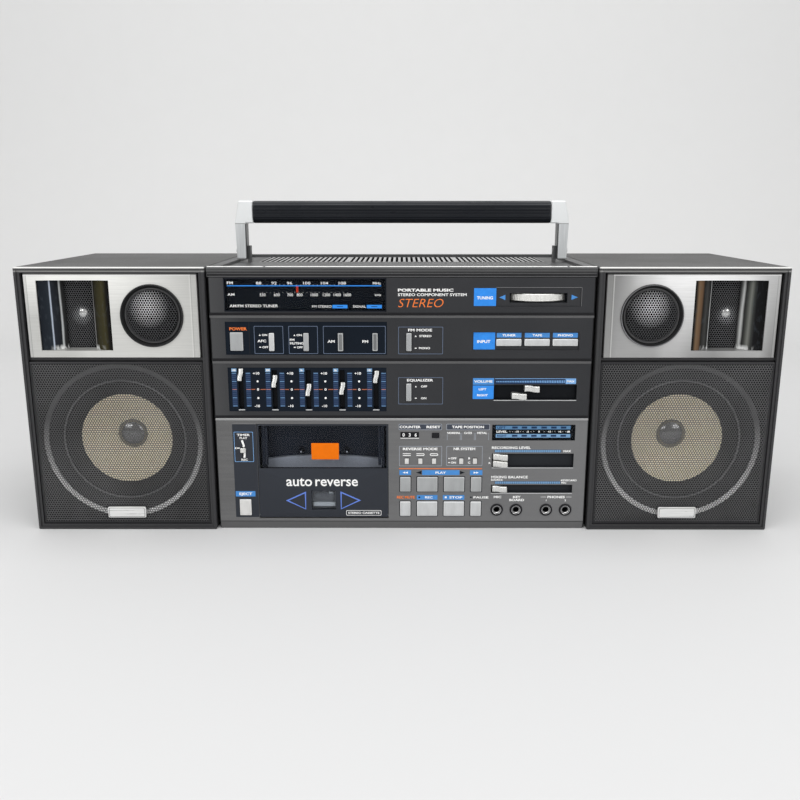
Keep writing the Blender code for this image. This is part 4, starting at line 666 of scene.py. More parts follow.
# A closed line: a rounded outline joined to the same one, inset by the line's width
def outline(ink, x0, x1, z0, z1, y, line=0.45, body="centre_unit", corner=0.6):
    flat = [roundedOutline((x1 - x0 - 2 * inset) * mm, (z1 - z0 - 2 * inset) * mm, corner * mm, 2)
            for inset in (0, line)]
    points = upright(np.concatenate(flat), y - inkLift, (x0 + x1) / 2 * mm, (z0 + z1) / 2 * mm)
    printShape(ink, body, points, gridFaces(2, len(flat[0]), False, True)[:, ::-1])


# One flat face through the corners, turned to look forward by the sign of its area
def polygon(ink, corners, y, body="centre_unit"):
    corners = np.array(corners, float) * mm
    across = np.roll(corners, -1, 0)
    if (corners[:, 0] * across[:, 1] - across[:, 0] * corners[:, 1]).sum() < 0:
        corners = corners[::-1]
    printShape(ink, body, upright(corners, y - inkLift), [tuple(range(len(corners)))])


def disc(ink, x, z, radius, y, body="centre_unit", steps=12):
    turn = np.linspace(0, 2 * math.pi, steps, endpoint=False)
    polygon(ink, np.stack([x + radius * np.cos(turn), z + radius * np.sin(turn)], -1), y, body)


def unit(rows):
    return rows / np.maximum(np.linalg.norm(rows, axis=1, keepdims=True), 1e-9)


def stroke(ink, path, y, line=0.5, body="centre_unit", closed=False):
    # A line of even width along a path: each point steps sideways by its neighbours' mean normal
    path = np.array(path, float)
    if closed:
        ahead, behind = np.roll(path, -1, 0), np.roll(path, 1, 0)
    else:
        ahead, behind = np.concatenate([path[1:], path[-1:]]), np.concatenate([path[:1], path[:-1]])
    legB = unit(ahead - path)
    way = unit(unit(path - behind) + legB)
    side = np.stack([-way[:, 1], way[:, 0]], -1)
    stretch = np.maximum(np.abs((legB if closed else way) * way).sum(1), 0.35)[:, None]
    left, right = path + side * line / 2 / stretch, path - side * line / 2 / stretch
    points = upright(np.concatenate([right, left]) * mm, y - inkLift)
    printShape(ink, body, points, gridFaces(2, len(path), False, closed))


def words(text, place, z, size, y, body="centre_unit", wide=1.25, bold=0.028, ink=inkWhite, slant=0.0, rear=False):
    # Lettering in the built-in font, in millimetres: size is the capital height, z its middle, and place
    # either the middle's x or two x values that the word is stretched to fill
    curve = bpy.data.curves.new("words", "FONT")
    curve.body = text
    curve.align_x = "CENTER"
    curve.size = 1.0
    curve.offset = bold
    curve.shear = slant
    curve.resolution_u = 3
    carrier = bpy.data.objects.new("words", curve)
    bpy.context.scene.collection.objects.link(carrier)
    made = bpy.data.meshes.new_from_object(carrier.evaluated_get(bpy.context.evaluated_depsgraph_get()))
    flat = np.zeros(len(made.vertices) * 3)
    made.vertices.foreach_get("co", flat)
    flat = flat.reshape(-1, 3)
    faces = [tuple(p.vertices) for p in made.polygons]
    bpy.data.objects.remove(carrier)
    bpy.data.meshes.remove(made)
    bpy.data.curves.remove(curve)
    capital = 0.70
    scale = size * mm / capital
    middle = (flat[:, 0].min() + flat[:, 0].max()) / 2
    x, stretch = place, scale * wide
    if isinstance(place, tuple):
        x = (place[0] + place[1]) / 2
        stretch = (place[1] - place[0]) * mm / (flat[:, 0].max() - flat[:, 0].min())
    way = -1 if rear else 1
    points = np.stack([
        x * mm + way * (flat[:, 0] - middle) * stretch, np.full(len(flat), y - way * inkLift),
        z * mm + (flat[:, 1] - capital / 2) * scale], -1)
    printShape(ink, body, points, faces)


def lettering(y, rows, body="centre_unit", wide=1.25, bold=0.028):
    # Rows of text, place, z and size, with a width and weight of their own where they differ
    for text, place, z, size, *own in rows:
        words(text, place, z, size, y, body, *own, *(wide, bold)[len(own):])


def panels(y, *rows):
    for ink, *corners in rows:
        panel(ink, *corners, y)


# A CAD part keeps its mesh and takes a finish in every slot
def dress(finish, *names):
    for name in names:
        for slot in cadNodes[name].material_slots:
            slot.material = finish


# Front panels: dark inlays, lined pockets and thin raised edges
fascia = {
    "dial": (-84.49, 217.1, 140.7, 27.7), "switchInset": (-84.49, 178.75, 142.8, 29.5),
    "equalizerInset": (-84.49, 132.4, 141.6, 40.2), "inputRecess": (109.68, 176.4, 94.0, 16.1),
    "wheelRecess": (119.51, 215.2, 74.7, 16.3), "volumePocket": (119.51, 129.9, 74.2, 13.8),
    "levelPocket": (119.51, 66.2, 74.6, 13.3), "mixingPocket": (119.51, 39.0, 74.6, 7.9),
    "meter": (119.51, 92.6, 75.3, 14.8), "counter": (7.2, 90.4, 16.9, 5.4),
    "slots": (-144.0, -113.75, -83.5, -53.25, -23.0), "slotSize": (4.6, 35.6), "slotMiddle": 132.4,
    "lineGap": 0.12,
}
slotWide, slotTall = fascia["slotSize"]
slotZ = fascia["slotMiddle"]


def sheetWithHoles(x0, x1, z0, z1, y, holes):
    # A flat grid through every hole edge, less the cells whose middle lies in a hole
    xs = np.unique(np.round([x0, x1, *[v for h in holes for v in h[:2]]], 4))
    zs = np.unique(np.round([z0, z1, *[v for h in holes for v in h[2:]]], 4))
    gx, gz = np.meshgrid(xs, zs, indexing="ij")
    points = np.stack([gx.ravel(), np.full(gx.size, y / mm), gz.ravel()], -1) * mm
    faces = gridFaces(len(xs), len(zs))
    middle = points[faces].mean(1) / mm
    keep = np.ones(len(faces), bool)
    for a, b, c, d in holes:
        keep &= ~((middle[:, 0] > a) & (middle[:, 0] < b) & (middle[:, 2] > c) & (middle[:, 2] < d))
    return points, faces[keep]


def trayShape(x, z, width, height, front, back, gap=fascia["lineGap"] * mm):
    # Open tray: a rounded outline at the front, one at the back, and the back closed to a point
    flat = roundedOutline(width - 2 * gap, height - 2 * gap, 0.3 * mm, 2)
    end = np.tile([x, back, z], (len(flat), 1))
    return np.concatenate([upright(flat, front, x, z), upright(flat, back, x, z), end]), gridFaces(
        3, len(flat), False, True)


# A fascia entry in metres
def pocket(key):
    x, z, width, height = fascia[key]
    return x * mm, z * mm, width * mm, height * mm


# Left, right, low and high of a middle and a size
def edges(x, z, width, height):
    return x - width / 2, x + width / 2, z - height / 2, z + height / 2


slotHoles = [edges(x, slotZ, slotWide, slotTall) for x in fascia["slots"]]
inlays = [
    sheetWithHoles(*edges(*fascia["switchInset"]), insetY - 0.04 * mm, []),
    sheetWithHoles(*edges(*fascia["equalizerInset"]), insetY - 0.04 * mm, slotHoles)]
flatPiece("dark_inlays", inlays, insetNavy)
flatPiece("dial_tray", [trayShape(*pocket("dial"), faceY + 0.2 * mm, faceY + 7.85 * mm)], dialBlack)

linings = [trayShape(x * mm, slotZ * mm, slotWide * mm, slotTall * mm, insetY, pocketY - 0.1 * mm)
           for x in fascia["slots"]]
linings.append(trayShape(*pocket("volumePocket"), faceY + 0.1 * mm, pocketY - 0.1 * mm))
flatPiece("slider_slots", linings, pocketBlack)
linings = [trayShape(*pocket(key), faceY + 0.1 * mm, pocketY - 0.1 * mm)
           for key in ("levelPocket", "mixingPocket")]
flatPiece("slider_pockets", linings, pocketGrey)


def rail(x0, x1, z0, z1, proud=0.15, soft=0.12, sunk=0.3, base=faceY):
    # A slim raised bar on a panel, all in millimetres but the panel's own y
    return barShape((x0 * mm, base - proud * mm, z0 * mm), (x1 * mm, base + sunk * mm, z1 * mm), soft * mm)


# Lit lower lips of the slots and pockets
beads = [rail(x - 2.9, x + 2.9, 113.15, 114.1, 0.35, 0.2, 0, insetY) for x in fascia["slots"]]
for key in ("volumePocket", "levelPocket", "mixingPocket"):
    x, z, width, height = fascia[key]
    low = z - height / 2
    beads.append(rail(x - width / 2, x + width / 2, low - 0.75, low - 0.05, 0.25, 0.2, 0.1))
# A pale grey for painted highlights on thin edges
edgeGlintGrey = mouldedFinish("edgeGlintGrey", (0.20, 0.20, 0.205), 0.34, 0.08)
weldedPiece("pocket_lips", beads, buttonPale)

# Lips along the panels' top edges, lighter as a painted highlight, and the bright trim with its two notches along the
# cover's front
trim = {"half": 169.6, "notches": (-119.6, 144.9), "notch": 1.6, "low": 240.5, "high": 241.7,
        "setBack": 0.9, "reach": 4.2}
stops = [-trim["half"], *[v for n in trim["notches"] for v in (n - trim["notch"] / 2, n + trim["notch"] / 2)],
         trim["half"]]
lines = [rail(a, b, trim["low"], trim["high"], -trim["setBack"], 0.3, trim["reach"])
         for a, b in zip(stops[::2], stops[1::2])]
weldedPiece("front_trim", lines, lineSilver)
lips = [rail(-half, half, low, high, proud) for half, low, high, proud in (
    (169.3, 235.55, 236.1, 0.15), (169.3, 232.75, 233.35, 0.15), (168.9, 196.9, 199.0, 0.12),
    (168.4, 156.1, 158.2, 0.12))]
weldedPiece("panel_lips", lips, lipGrey)
grooves = [sheetShape(-half * mm, half * mm, low * mm, high * mm, faceY + sunk * mm) for half, low, high, sunk in (
    (169.3, 236.1, 236.5, -0.04), (169.3, 233.9, 234.8, -0.04), (169.0, 199.2, 201.5, 0.35),
    (169.0, 158.4, 160.7, 0.35), (169.0, 106.2, 108.5, 0.35))]
flatPiece("band_grooves", grooves, blackPlastic)
# The deck's top lip, pale as a painted highlight
lipPale = mouldedFinish("lipPale", (0.32, 0.322, 0.323), 0.34, 0.06, metal=0.3, shine=0.4)
weldedPiece("deck_lip", [rail(-168.4, 168.4, 103.7, 105.9, 0.6, 0.5, 0.3)], lipPale)

# Bezel in the tuning recess: a plate with one long slot; behind it, painted shade as black linings on the slot's wall
# and the recess floor, which stays open for the wheel
bezel = {"x": (94.4, 144.6), "z": (210.4, 218.6), "sunk": 0.7, "reach": 23.6}
x0, x1, z0, z1 = edges(*fascia["wheelRecess"])
hole = (*bezel["x"], *bezel["z"])
bezelY = faceY + bezel["sunk"] * mm
flatPiece("tuning_bezel", [sheetWithHoles(x0 + 0.15, x1 - 0.15, z0 + 0.15, z1 - 0.15, bezelY, [hole])], charcoal)
cx, cz = sum(bezel["x"]) / 2 * mm, sum(bezel["z"]) / 2 * mm
wide, tall = (bezel["x"][1] - bezel["x"][0]) * mm, (bezel["z"][1] - bezel["z"][0]) * mm
wall = ringShape([(wide + 2 * out, tall + 2 * out, 0.3 * mm + out, cx, cz, bezelY + back * mm)
                  for out, back in ((0.05 * mm, -0.1), (0, -0.1), (0, 3.6), (0.05 * mm, 3.6))], 6)
weldedPiece("tuning_slot_wall", [wall], pocketBlack)
low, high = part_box("tuning_wheel")
middle = (low.x + high.x) / 2 / mm
floorHole = (middle - bezel["reach"], middle + bezel["reach"], z0 + 2, z1 - 2)
floor = sheetWithHoles(x0 + 0.2, x1 - 0.2, z0 + 0.2, z1 - 0.2, faceY + 4.9 * mm, [floorHole])
flatPiece("tuning_recess_floor", [floor], pocketBlack)
# Painted highlights along the recess's top and right edges
edgeLines = [rail(x0, x1 + 0.3, z1, z1 + 0.4, 0.12, 0.1), rail(x1, x1 + 0.35, z0, z1, 0.12, 0.1)]
weldedPiece("tuning_edges", edgeLines, edgeGlintGrey)
print("panels and pockets made")


# Ribbed slider caps: two halves offset by a smooth step, fine ribs across
caps = {"slant": 0.18, "riseShare": 0.30, "rib": 0.10 * mm, "ribPitch": 0.85 * mm, "steps": 64,
        "clear": 0.1 * mm, "stem": (1.95 * mm, 1.5 * mm)}


def capSurface(length, thick, shift, proud, deep):
    # Length u by angle v: the middle steps sideways as shift/2 tanh(u), the front rises with it
    # and carries ribs as a cosine of u; both ends are drawn in to a point
    u = np.linspace(-0.5, 0.5, caps["steps"] + 1)
    step = np.tanh(u / caps["slant"]) / math.tanh(0.5 / caps["slant"])
    ends = np.clip((0.5 - np.abs(u)) * length / (0.7 * mm), 0, 1)
    rounding = np.sqrt(1 - (1 - ends) ** 2)
    height = proud * (1 - caps["riseShare"] * (0.5 + step / 2)) * (0.55 + 0.45 * rounding)
    height += caps["rib"] * np.cos(2 * math.pi * u * length / caps["ribPitch"]) * (ends > 0.99)
    flat = np.array([(-0.5, -1), (-0.5, 0.72), (-0.44, 0.90), (-0.30, 1.0), (0.30, 1.0), (0.44, 0.90),
                     (0.5, 0.72), (0.5, -1)])
    across = flat[None, :, 0] * thick * (0.80 + 0.20 * rounding[:, None]) - shift / 2 * step[:, None]
    front = np.where(flat[None, :, 1] > 0, flat[None, :, 1] * height[:, None], -deep)
    along = np.repeat((u * length)[:, None], len(flat), 1)
    grid = np.stack([along, across, front], -1)
    first, last = grid[:1].mean(1, keepdims=True), grid[-1:].mean(1, keepdims=True)
    grid = np.concatenate([np.repeat(first, len(flat), 1), grid, np.repeat(last, len(flat), 1)])
    return grid.reshape(-1, 3), gridFaces(len(u) + 2, len(flat), False, True)


def sliderCap(name, upright, length, thick, shift, panelY):
    low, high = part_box(name)
    middle = (low + high) / 2
    # An upright cap runs over the panel and only its stem goes through the slot
    backY = panelY - caps["clear"] if upright else high.y
    local, faces = capSurface(length * mm, thick * mm, shift * mm, panelY - low.y, backY - panelY)
    along, across, front = local.T
    if upright:
        points = np.stack([middle.x - across, panelY - front, middle.z + along], -1)
        halfX, halfZ = caps["stem"]
        points, faces = gather([(points, faces), barShape(
            (middle.x - halfX, backY + 0.05 * mm, middle.z - halfZ), (middle.x + halfX, high.y, middle.z + halfZ))])
    else:
        points = np.stack([middle.x + along, panelY - front, middle.z + across], -1)
    piece = meshPiece(name + "_cap", points, faces, sliderSilver, name, weld=True, crisp=50)
    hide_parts(name)


for n in range(1, 6):
    sliderCap(f"equalizer_slider_{n}", True, 11.3, 4.0, 1.5, faceY)
for name in ("left_volume_slider", "right_volume_slider", "left_level_slider", "right_level_slider"):
    sliderCap(name, False, 13.8, 5.5, 1.2, faceY)
sliderCap("mixing_slider", False, 13.8, 5.6, 1.2, faceY)
print("slider caps made")


# Push buttons: a slightly crowned front with soft edges, and the flange behind the panel
buttonSizes = {"flange": 0.8 * mm, "flangeDepth": 1.2 * mm}


def crownedShape(x, z, width, height, back, front, corner, edge, crown, flange=0.0, flangeDepth=0.0):
    # Stacked outlines: flange, body, a quarter-round edge, then a shallow crown to the middle
    levels = []
    if flange:
        levels += [(-flange, back), (-flange, back - flangeDepth), (0, back - flangeDepth)]
    else:
        levels += [(0, back)]
    turn = np.linspace(0, math.pi / 2, 4)
    levels += [(edge * (1 - math.cos(t)), front + edge - edge * math.sin(t)) for t in turn]
    reach = min(width, height) / 2
    levels += [(edge + (reach - edge) * s, front - crown * (1 - (1 - s) ** 2)) for s in (0.35, 0.8)]
    return capShape(x, z, width, height, levels, corner, 3)


def pushButton(name, finish=keyGrey, corner=0.5, crown=0.12, edge=0.75):
    low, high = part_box(name)
    rim = buttonSizes["flange"]
    points, faces = crownedShape(
        (low.x + high.x) / 2, (low.z + high.z) / 2, high.x - low.x - 2 * rim, high.z - low.z - 2 * rim,
        high.y, low.y + crown * mm, corner * mm, edge * mm, crown * mm, rim, buttonSizes["flangeDepth"])
    piece = meshPiece(name + "_key", points, faces, finish, name, weld=True, crisp=40)
    # Rim: how far a point lies behind the face, as a share of the edge's radius; the key's finish paints a highlight
    # by it
    spots = np.zeros(len(piece.data.vertices) * 3)
    piece.data.vertices.foreach_get("co", spots)
    rim = np.clip((spots[1::3] - low.y - crown * mm) / (edge * mm), 0, 1)
    piece.data.attributes.new("rim", "FLOAT", "POINT").data.foreach_set("value", rim.astype(np.float32))
    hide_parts(name)


transportKeys = ("rewind", "reverse_play", "forward_play", "fast_forward", "record_mute", "record", "stop", "pause")
for name in ("power", "fm_muting", "fm_mode", "equalizer", *transportKeys[:4]):
    pushButton(name + "_button")
for name in ("afc", "tuner", "tape", "phono", *transportKeys[4:]):
    pushButton(name + "_button", keyPale)
for name in ("am_button", "fm_button"):
    pushButton(name, keyDark)
    low, high = (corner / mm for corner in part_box(name))
    outline(inkGrey, low.x + 0.9, high.x - 0.9, low.z + 0.9, high.z - 0.9, low.y * mm - 0.02 * mm, 0.75, name)
pushButton("eject_button", keyBright)
pushButton("counter_reset_button", blackPlastic)
print("buttons made")


# Tuning wheel: a ribbed disc lying flat behind its slot
wheel = {"ribs": 150, "ribDepth": 0.16 * mm, "half": 3.2 * mm, "drop": 0.4 * mm}
low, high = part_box("tuning_wheel")
wheelX, wheelY = (low.x + high.x) / 2, (low.y + high.y) / 2
wheelR = (high.x - low.x) / 2
steps = wheel["ribs"] * 8
angle = np.linspace(0, 2 * math.pi, steps, endpoint=False)
wave = np.sin(wheel["ribs"] * angle)
rib = wheel["ribDepth"] * (0.5 - 0.5 * np.sign(wave) * np.abs(wave) ** 0.5)
half = wheel["half"]
wheelZ = (low.z + high.z) / 2 - wheel["drop"]
# Rim profile by angle: radius = full - rib(angle), with plain lips above and below
lower = [(0.0020, -half, 0), (0.006, -half, 0), (0.0062, -half + 0.001, 0), (0.030, -half + 0.001, 0),
         (0.0302, -half, 0), (wheelR - 0.5 * mm, -half, 0), (wheelR, -half + 0.5 * mm, 0),
         (wheelR, -half + 0.9 * mm, 0), (wheelR, -half + 1.0 * mm, 1)]
profile = np.array(lower + [(r, -z, ribbed) for r, z, ribbed in reversed(lower)])
radius = profile[:, :1] - profile[:, 2:3] * rib[None]
grid = np.stack([
    wheelX + radius * np.cos(angle), wheelY + radius * np.sin(angle),
    wheelZ + profile[:, 1:2] + 0 * angle[None]], -1)
wheelPiece = meshPiece("ribbed_tuning_wheel", grid.reshape(-1, 3), gridFaces(len(profile), steps, True, True),
                       wheelSilver, "tuning_wheel", weld=True, crisp=25)
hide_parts("tuning_wheel")


def pane(name, node, finish, body, edge, chamfer, corner):
    # A plate in a node's own box: its front edge steps back by edge, its outline in by chamfer
    low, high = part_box(node)
    levels = [(0, high.y), (0, low.y + edge * mm), (chamfer * mm, low.y)]
    shape = capShape((low.x + high.x) / 2, (low.z + high.z) / 2, high.x - low.x, high.z - low.z, levels, corner * mm)
    return meshPiece(name, *shape, finish, body, weld=True)


# Clear windows of the dial and the meter, and the red pointer behind the dial's
dialPane = pane("dial_pane", "dial_window", paneClear, "centre_unit", 0.2, 0.2, 0.6)
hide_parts("dial_window")
pointerBlade = pane("pointer_blade", "dial_pointer", pointerRed, "dial_pointer", 0.5, 0.45, 0.3)
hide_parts("dial_pointer")
meterPane = pane("meter_pane", "meter_window", paneClear, "centre_unit", 0.2, 0.2, 0.4)
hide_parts("meter_window")

# Seam beside the power button
seam = sheetShape(-135.0 * mm, -134.5 * mm, 164.6 * mm, 193.0 * mm, insetY - 0.06 * mm)
flatPiece("module_seam", [seam], blackPlastic)
print("dial and wheel made")


# Print on the tuner, switch and equalizer panels
dialInk = faceY + 0.62 * mm
x0, x1, z0, z1 = edges(*fascia["dial"])
panels(faceY, (inkDark, x0 - 0.7, x1 + 0.7, z1 - 0.1, z1 + 0.9), (inkDark, x0 - 0.7, x1 + 0.7, z0 - 0.9, z0 + 0.1),
       (inkDark, x0 - 0.7, x0 + 0.1, z0 - 0.9, z1 + 0.9), (inkDark, x1 - 0.1, x1 + 0.7, z0 - 0.9, z1 + 0.9))
fmScale = zip((-124.7, -111.3, -97.8, -82.8, -67.3, -51.8), ("88", "92", "96", "100", "104", "108"))
amScale = zip((-121.6, -109.2, -97.5, -89.2, -76.4, -65.8, -56.4, -47.5),
              ("530", "600", "700", "800", "1000", "1200", "1400", "1600"))
lettering(dialInk, [
    ("FM", -149.8, 227.5, 2.3, 1.4, 0.015), *[(text, x, 227.3, 2.3, 1.5, 0.006) for x, text in fmScale],
    ("MHz", -21.8, 227.2, 2.2, 1.2, 0.006), ("AM", -149.3, 217.4, 2.2, 1.4, 0.015),
    *[(text, x, 217.1, 2.5, 0.98, 0.0) for x, text in amScale], ("kHz", -20.8, 217.0, 1.9, 1.25, 0.006),
    ("AM/FM STEREO TUNER", (-150.9, -108.5), 207.4, 2.3, 1.25, 0.01),
    ("FM STEREO", (-78.6, -61.6), 206.9, 2.1, 1.25, 0.0), ("SIGNAL", (-42.8, -31.4), 206.9, 2.1, 1.25, 0.0)])
panel(inkBlue, -152.4, -18.0, 224.55, 225.35, dialInk)
for x in (-54.2, -24.1):
    panel(inkBlue, x - 6.6, x + 6.6, 205.3, 208.3, dialInk)
    panel(inkDeep, x - 2.6, x + 2.6, 206.5, 207.1, dialInk - 0.04 * mm)
# Fine tuning marks above and below the blue rule
for first, last, pitch, z in ((-124.7, -51.0, 3.66, 225.5), (-121.6, -47.0, 3.53, 219.0)):
    for x in np.arange(first, last, pitch):
        panel(inkWhite, x - 0.12, x + 0.12, z, z + 0.5, dialInk)

# Generic wording where the front's title stands
lettering(faceY, [("PORTABLE MUSIC", (-3.4, 45.0), 221.3, 2.3, 1.25, 0.035),
                  ("STEREO COMPONENT SYSTEM", (-3.4, 56.6), 217.3, 2.3, 1.25, 0.02)])
words("STEREO", (-3.2, 36.4), 210.1, 7.6, faceY, bold=-0.012, ink=inkOrange, slant=0.25)

panel(inkBlue, 63.0, 82.4, 207.5, 223.0, faceY)
words("TUNING", (65.6, 79.6), 214.6, 2.5, faceY - 0.05 * mm)
polygon(inkSoft, [(85.1, 214.9), (90.5, 217.2), (90.5, 212.6)], bezelY)
polygon(inkSoft, [(153.8, 215.0), (148.3, 217.2), (148.3, 212.8)], bezelY)
words("POWER", (-152.0, -136.6), 187.2, 2.5, insetY - 0.05 * mm, ink=inkOrange)


def switchMarks(x, high, low, y, size=1.5):
    # An arrowhead beside the upper position of a switch and a dash beside the lower one
    side, rise = size / 2 * 1.15, size / 2
    polygon(inkWhite, [(x - side, high - rise), (x + side, high - rise), (x, high + rise)], y)
    panel(inkWhite, x - size * 0.55, x + size * 0.55, low - size * 0.28, low + size * 0.28, y)


for x0, x1 in ((-130.5, -104.7), (-100.0, -74.2), (-69.5, -14.3)):
    outline(inkLine, x0, x1, 164.9, 189.7, insetY)
lettering(insetY, [
    ("ON", -121.2, 181.7, 1.7), ("AFC", -123.8, 176.4, 2.1, 1.4), ("OFF", -120.9, 170.8, 1.7),
    ("ON", -90.6, 181.6, 1.7), ("FM", -97.0, 177.4, 1.9, 1.3), ("MUTING", -92.9, 174.3, 1.9, 1.18),
    ("OFF", -90.3, 170.7, 1.7), ("AM", -62.5, 176.0, 2.2, 1.4), ("FM", -32.3, 175.9, 2.2, 1.4)])
switchMarks(-125.4, 181.7, 170.8, insetY)
switchMarks(-94.8, 181.6, 170.7, insetY)
outline(inkLine, -3.1, 36.4, 164.7, 189.1, faceY)
outline(inkLine, -3.1, 36.9, 119.0, 143.7, faceY)
lettering(faceY, [
    ("FM MODE", 16.1, 186.2, 2.2, 1.55), ("STEREO", 20.8, 180.9, 1.75), ("MONO", 20.1, 170.1, 1.75),
    ("EQUALIZER", 16.4, 141.1, 2.1, 1.5), ("OFF", 19.9, 135.4, 1.75), ("ON", 19.6, 124.6, 1.75)])
switchMarks(12.3, 180.9, 170.0, faceY)
switchMarks(12.6, 135.4, 124.6, faceY)
inputFloor = faceY + 1.0 * mm
panel(inkBlue, 63.3, 82.5, 168.7, 184.0, inputFloor)
words("INPUT", (66.6, 78.4), 175.9, 2.5, inputFloor - 0.06 * mm)
for x0, x1, text in ((83.9, 105.6, "TUNER"), (108.7, 130.6, "TAPE"), (133.5, 155.4, "PHONO")):
    panel(inkSoft, x0, x1, 179.4, 183.6, inputFloor)
    words(text, (x0 + x1) / 2, 181.5, 1.9, inputFloor - 0.04 * mm, wide=1.35)

# Equalizer: number columns, rung ladders in blue and the orange zero line
ladder = {"left": (-8.0, -3.5), "right": (4.5, 9.0), "top": 147.3, "bottom": 117.3, "rungs": 16,
          "numbers": 14.9, "pitch": 30.25, "tags": ("100", "300", "1k", "3k", "10k")}
ladderY = insetY - 0.04 * mm
for x, tag in zip(fascia["slots"], ladder["tags"]):
    for a, b in (ladder["left"], ladder["right"]):
        panel(inkDeep, x + a, x + b, 116.6, 147.9, ladderY)
        for step, z in enumerate(np.linspace(ladder["bottom"], ladder["top"], ladder["rungs"] + 1)):
            ink, thin = (inkSky, 0.27) if step % 4 == 0 else (inkRung, 0.22)
            panel(ink, x + a + 0.3, x + b - 0.3, z - thin, z + thin, insetY - 0.09 * mm)
        panel(inkRust, x + a + 0.3, x + b - 0.3, 132.25, 132.75, insetY - 0.12 * mm)
    panel(inkSky, x - 8.0, x - 3.5, 148.5, 151.6, ladderY)
    words(tag, x - 5.75, 150.05, 1.7, insetY - 0.10 * mm, wide=1.0)
    if x < fascia["slots"][-1]:
        column = x + ladder["numbers"]
        lettering(ladderY, [("+10", column - 0.9, 147.2, 2.2, 1.2), ("0", column + 0.3, 132.5, 2.1),
                            ("-10", column - 0.9, 117.3, 2.1, 1.2)])
        disc(inkWhite, column + 0.2, 139.9, 0.95, ladderY)
        disc(inkWhite, column + 0.3, 124.6, 0.95, ladderY)
        panel(inkRust, x + 9.2, column - 2.2, 132.2, 132.8, ladderY)
        panel(inkRust, column + 2.6, x + ladder["pitch"] - 8.2, 132.2, 132.8, ladderY)

# Volume: blue labels, printed scale and its brighter end
labelY = faceY - 0.04 * mm
panels(faceY, (inkSoft, 63.6, 82.4, 137.0, 143.0), (inkBlue, 63.6, 82.3, 123.9, 136.3),
       (inkDeep, 83.2, 146.3, 137.7, 141.9), (inkPale, 83.2, 155.6, 142.3, 142.75),
       (inkPale, 146.3, 155.6, 137.8, 142.4))
lettering(labelY, [("VOLUME", 72.8, 140.0, 2.0, 1.45), ("LEFT", 72.3, 132.9, 1.8, 1.3),
                   ("RIGHT", 72.3, 127.4, 1.8, 1.3), ("MAX", 150.9, 140.1, 1.7, 1.3)])
for step, x in enumerate(np.arange(85.0, 145.2, 1.5)):
    tall = 0.5 + 0.75 * step / 40
    panel(inkPale, x - 0.4, x + 0.4, 139.8 - tall, 139.8 + tall, labelY)
print("upper print made")


# Cassette door: a frame with a smoked pane above and an opaque panel below
door = {"left": -131.4, "right": -12.4, "low": 11.25, "high": 100.25, "split": 58.6, "rail": 1.5,
        "peep": (-83.2, -60.9, 18.4, 36.8), "corner": 0.9}
low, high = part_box("cassette_door")
doorY, doorBack = low.y, high.y
peep = [v * mm for v in door["peep"]]
doorX = (door["left"] + door["right"]) / 2


def piercedPanel(x0, x1, z0, z1, hole, front, back, corner, soft):
    # One closed ring: outer outline at the back, front edge rounded, across to the hole and back through it
    cx, cz = (x0 + x1) / 2 * mm, (z0 + z1) / 2 * mm
    hx, hz = (hole[0] + hole[1]) / 2 * mm, (hole[2] + hole[3]) / 2 * mm
    outerW, outerH = (x1 - x0) * mm, (z1 - z0) * mm
    innerW, innerH = (hole[1] - hole[0]) * mm, (hole[3] - hole[2]) * mm
    return ringShape([
        (outerW, outerH, corner, cx, cz, back), (outerW, outerH, corner, cx, cz, front + soft),
        (outerW - 0.6 * soft, outerH - 0.6 * soft, corner, cx, cz, front + 0.3 * soft),
        (outerW - 2 * soft, outerH - 2 * soft, corner, cx, cz, front),
        (innerW + 2 * soft, innerH + 2 * soft, soft, hx, hz, front),
        (innerW, innerH, soft, hx, hz, front + soft), (innerW, innerH, soft, hx, hz, back)])


panelLow = piercedPanel(door["left"], door["right"], door["low"], door["split"], door["peep"],
                        doorY, doorBack, 0.5 * mm, 0.25 * mm)
windowHole = (door["left"] + door["rail"], door["right"] - door["rail"], door["split"], door["high"] - door["rail"])
rails = piercedPanel(door["left"], door["right"], door["split"] - 0.1, door["high"], windowHole,
                     doorY, doorBack, door["corner"] * mm, 0.3 * mm)
doorPiece = weldedPiece("cassette_door_panel", [panelLow, rails], doorGrey, "cassette_door", 30)
smoked = capShape(doorX * mm, (windowHole[2] + windowHole[3]) / 2 * mm, (windowHole[1] - windowHole[0] + 0.3) * mm,
                  (windowHole[3] - windowHole[2] + 0.3) * mm,
                  [(0, doorY + 1.7 * mm), (0, doorY + 0.45 * mm), (0.2 * mm, doorY + 0.3 * mm)], 0.5 * mm)
doorPane = meshPiece("cassette_door_pane", *smoked, paneSmoked, "cassette_door", weld=True)
points, faces = capShape((peep[0] + peep[1]) / 2, (peep[2] + peep[3]) / 2, peep[1] - peep[0] + 0.2 * mm,
                         peep[3] - peep[2] + 0.2 * mm, [(0, doorY + 1.2 * mm), (0, doorY + 0.35 * mm)], 0.3 * mm)
peepPane = meshPiece("peephole_pane", points, faces, paneClear, "cassette_door", weld=True)
lathe("door_pin", [(0, -60.4), (0.75, -60.4), (0.75, 60.4), (0, 60.4)],
      (doorX * mm, (doorY + doorBack) / 2, 12.85 * mm), sliderSilver, "cassette_door", 16, "side")
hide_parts("cassette_door")

guideGrey = mouldedFinish("guideGrey", (0.030, 0.034, 0.042), 0.42, 0.12, 1400, 0.02 * mm)
# Cassette guides on the door's rear: two ribbed leaves that hold the tape's edges
front, back = doorBack + 0.2 * mm, doorBack + 1.4 * mm
leaves = [barShape((x * mm, front, 60.5 * mm), ((x + 2.8) * mm, back, 97.0 * mm), 0.4 * mm) for x in (-125.2, -21.6)]
weldedPiece("cassette_guides", leaves, guideGrey, "cassette_door")

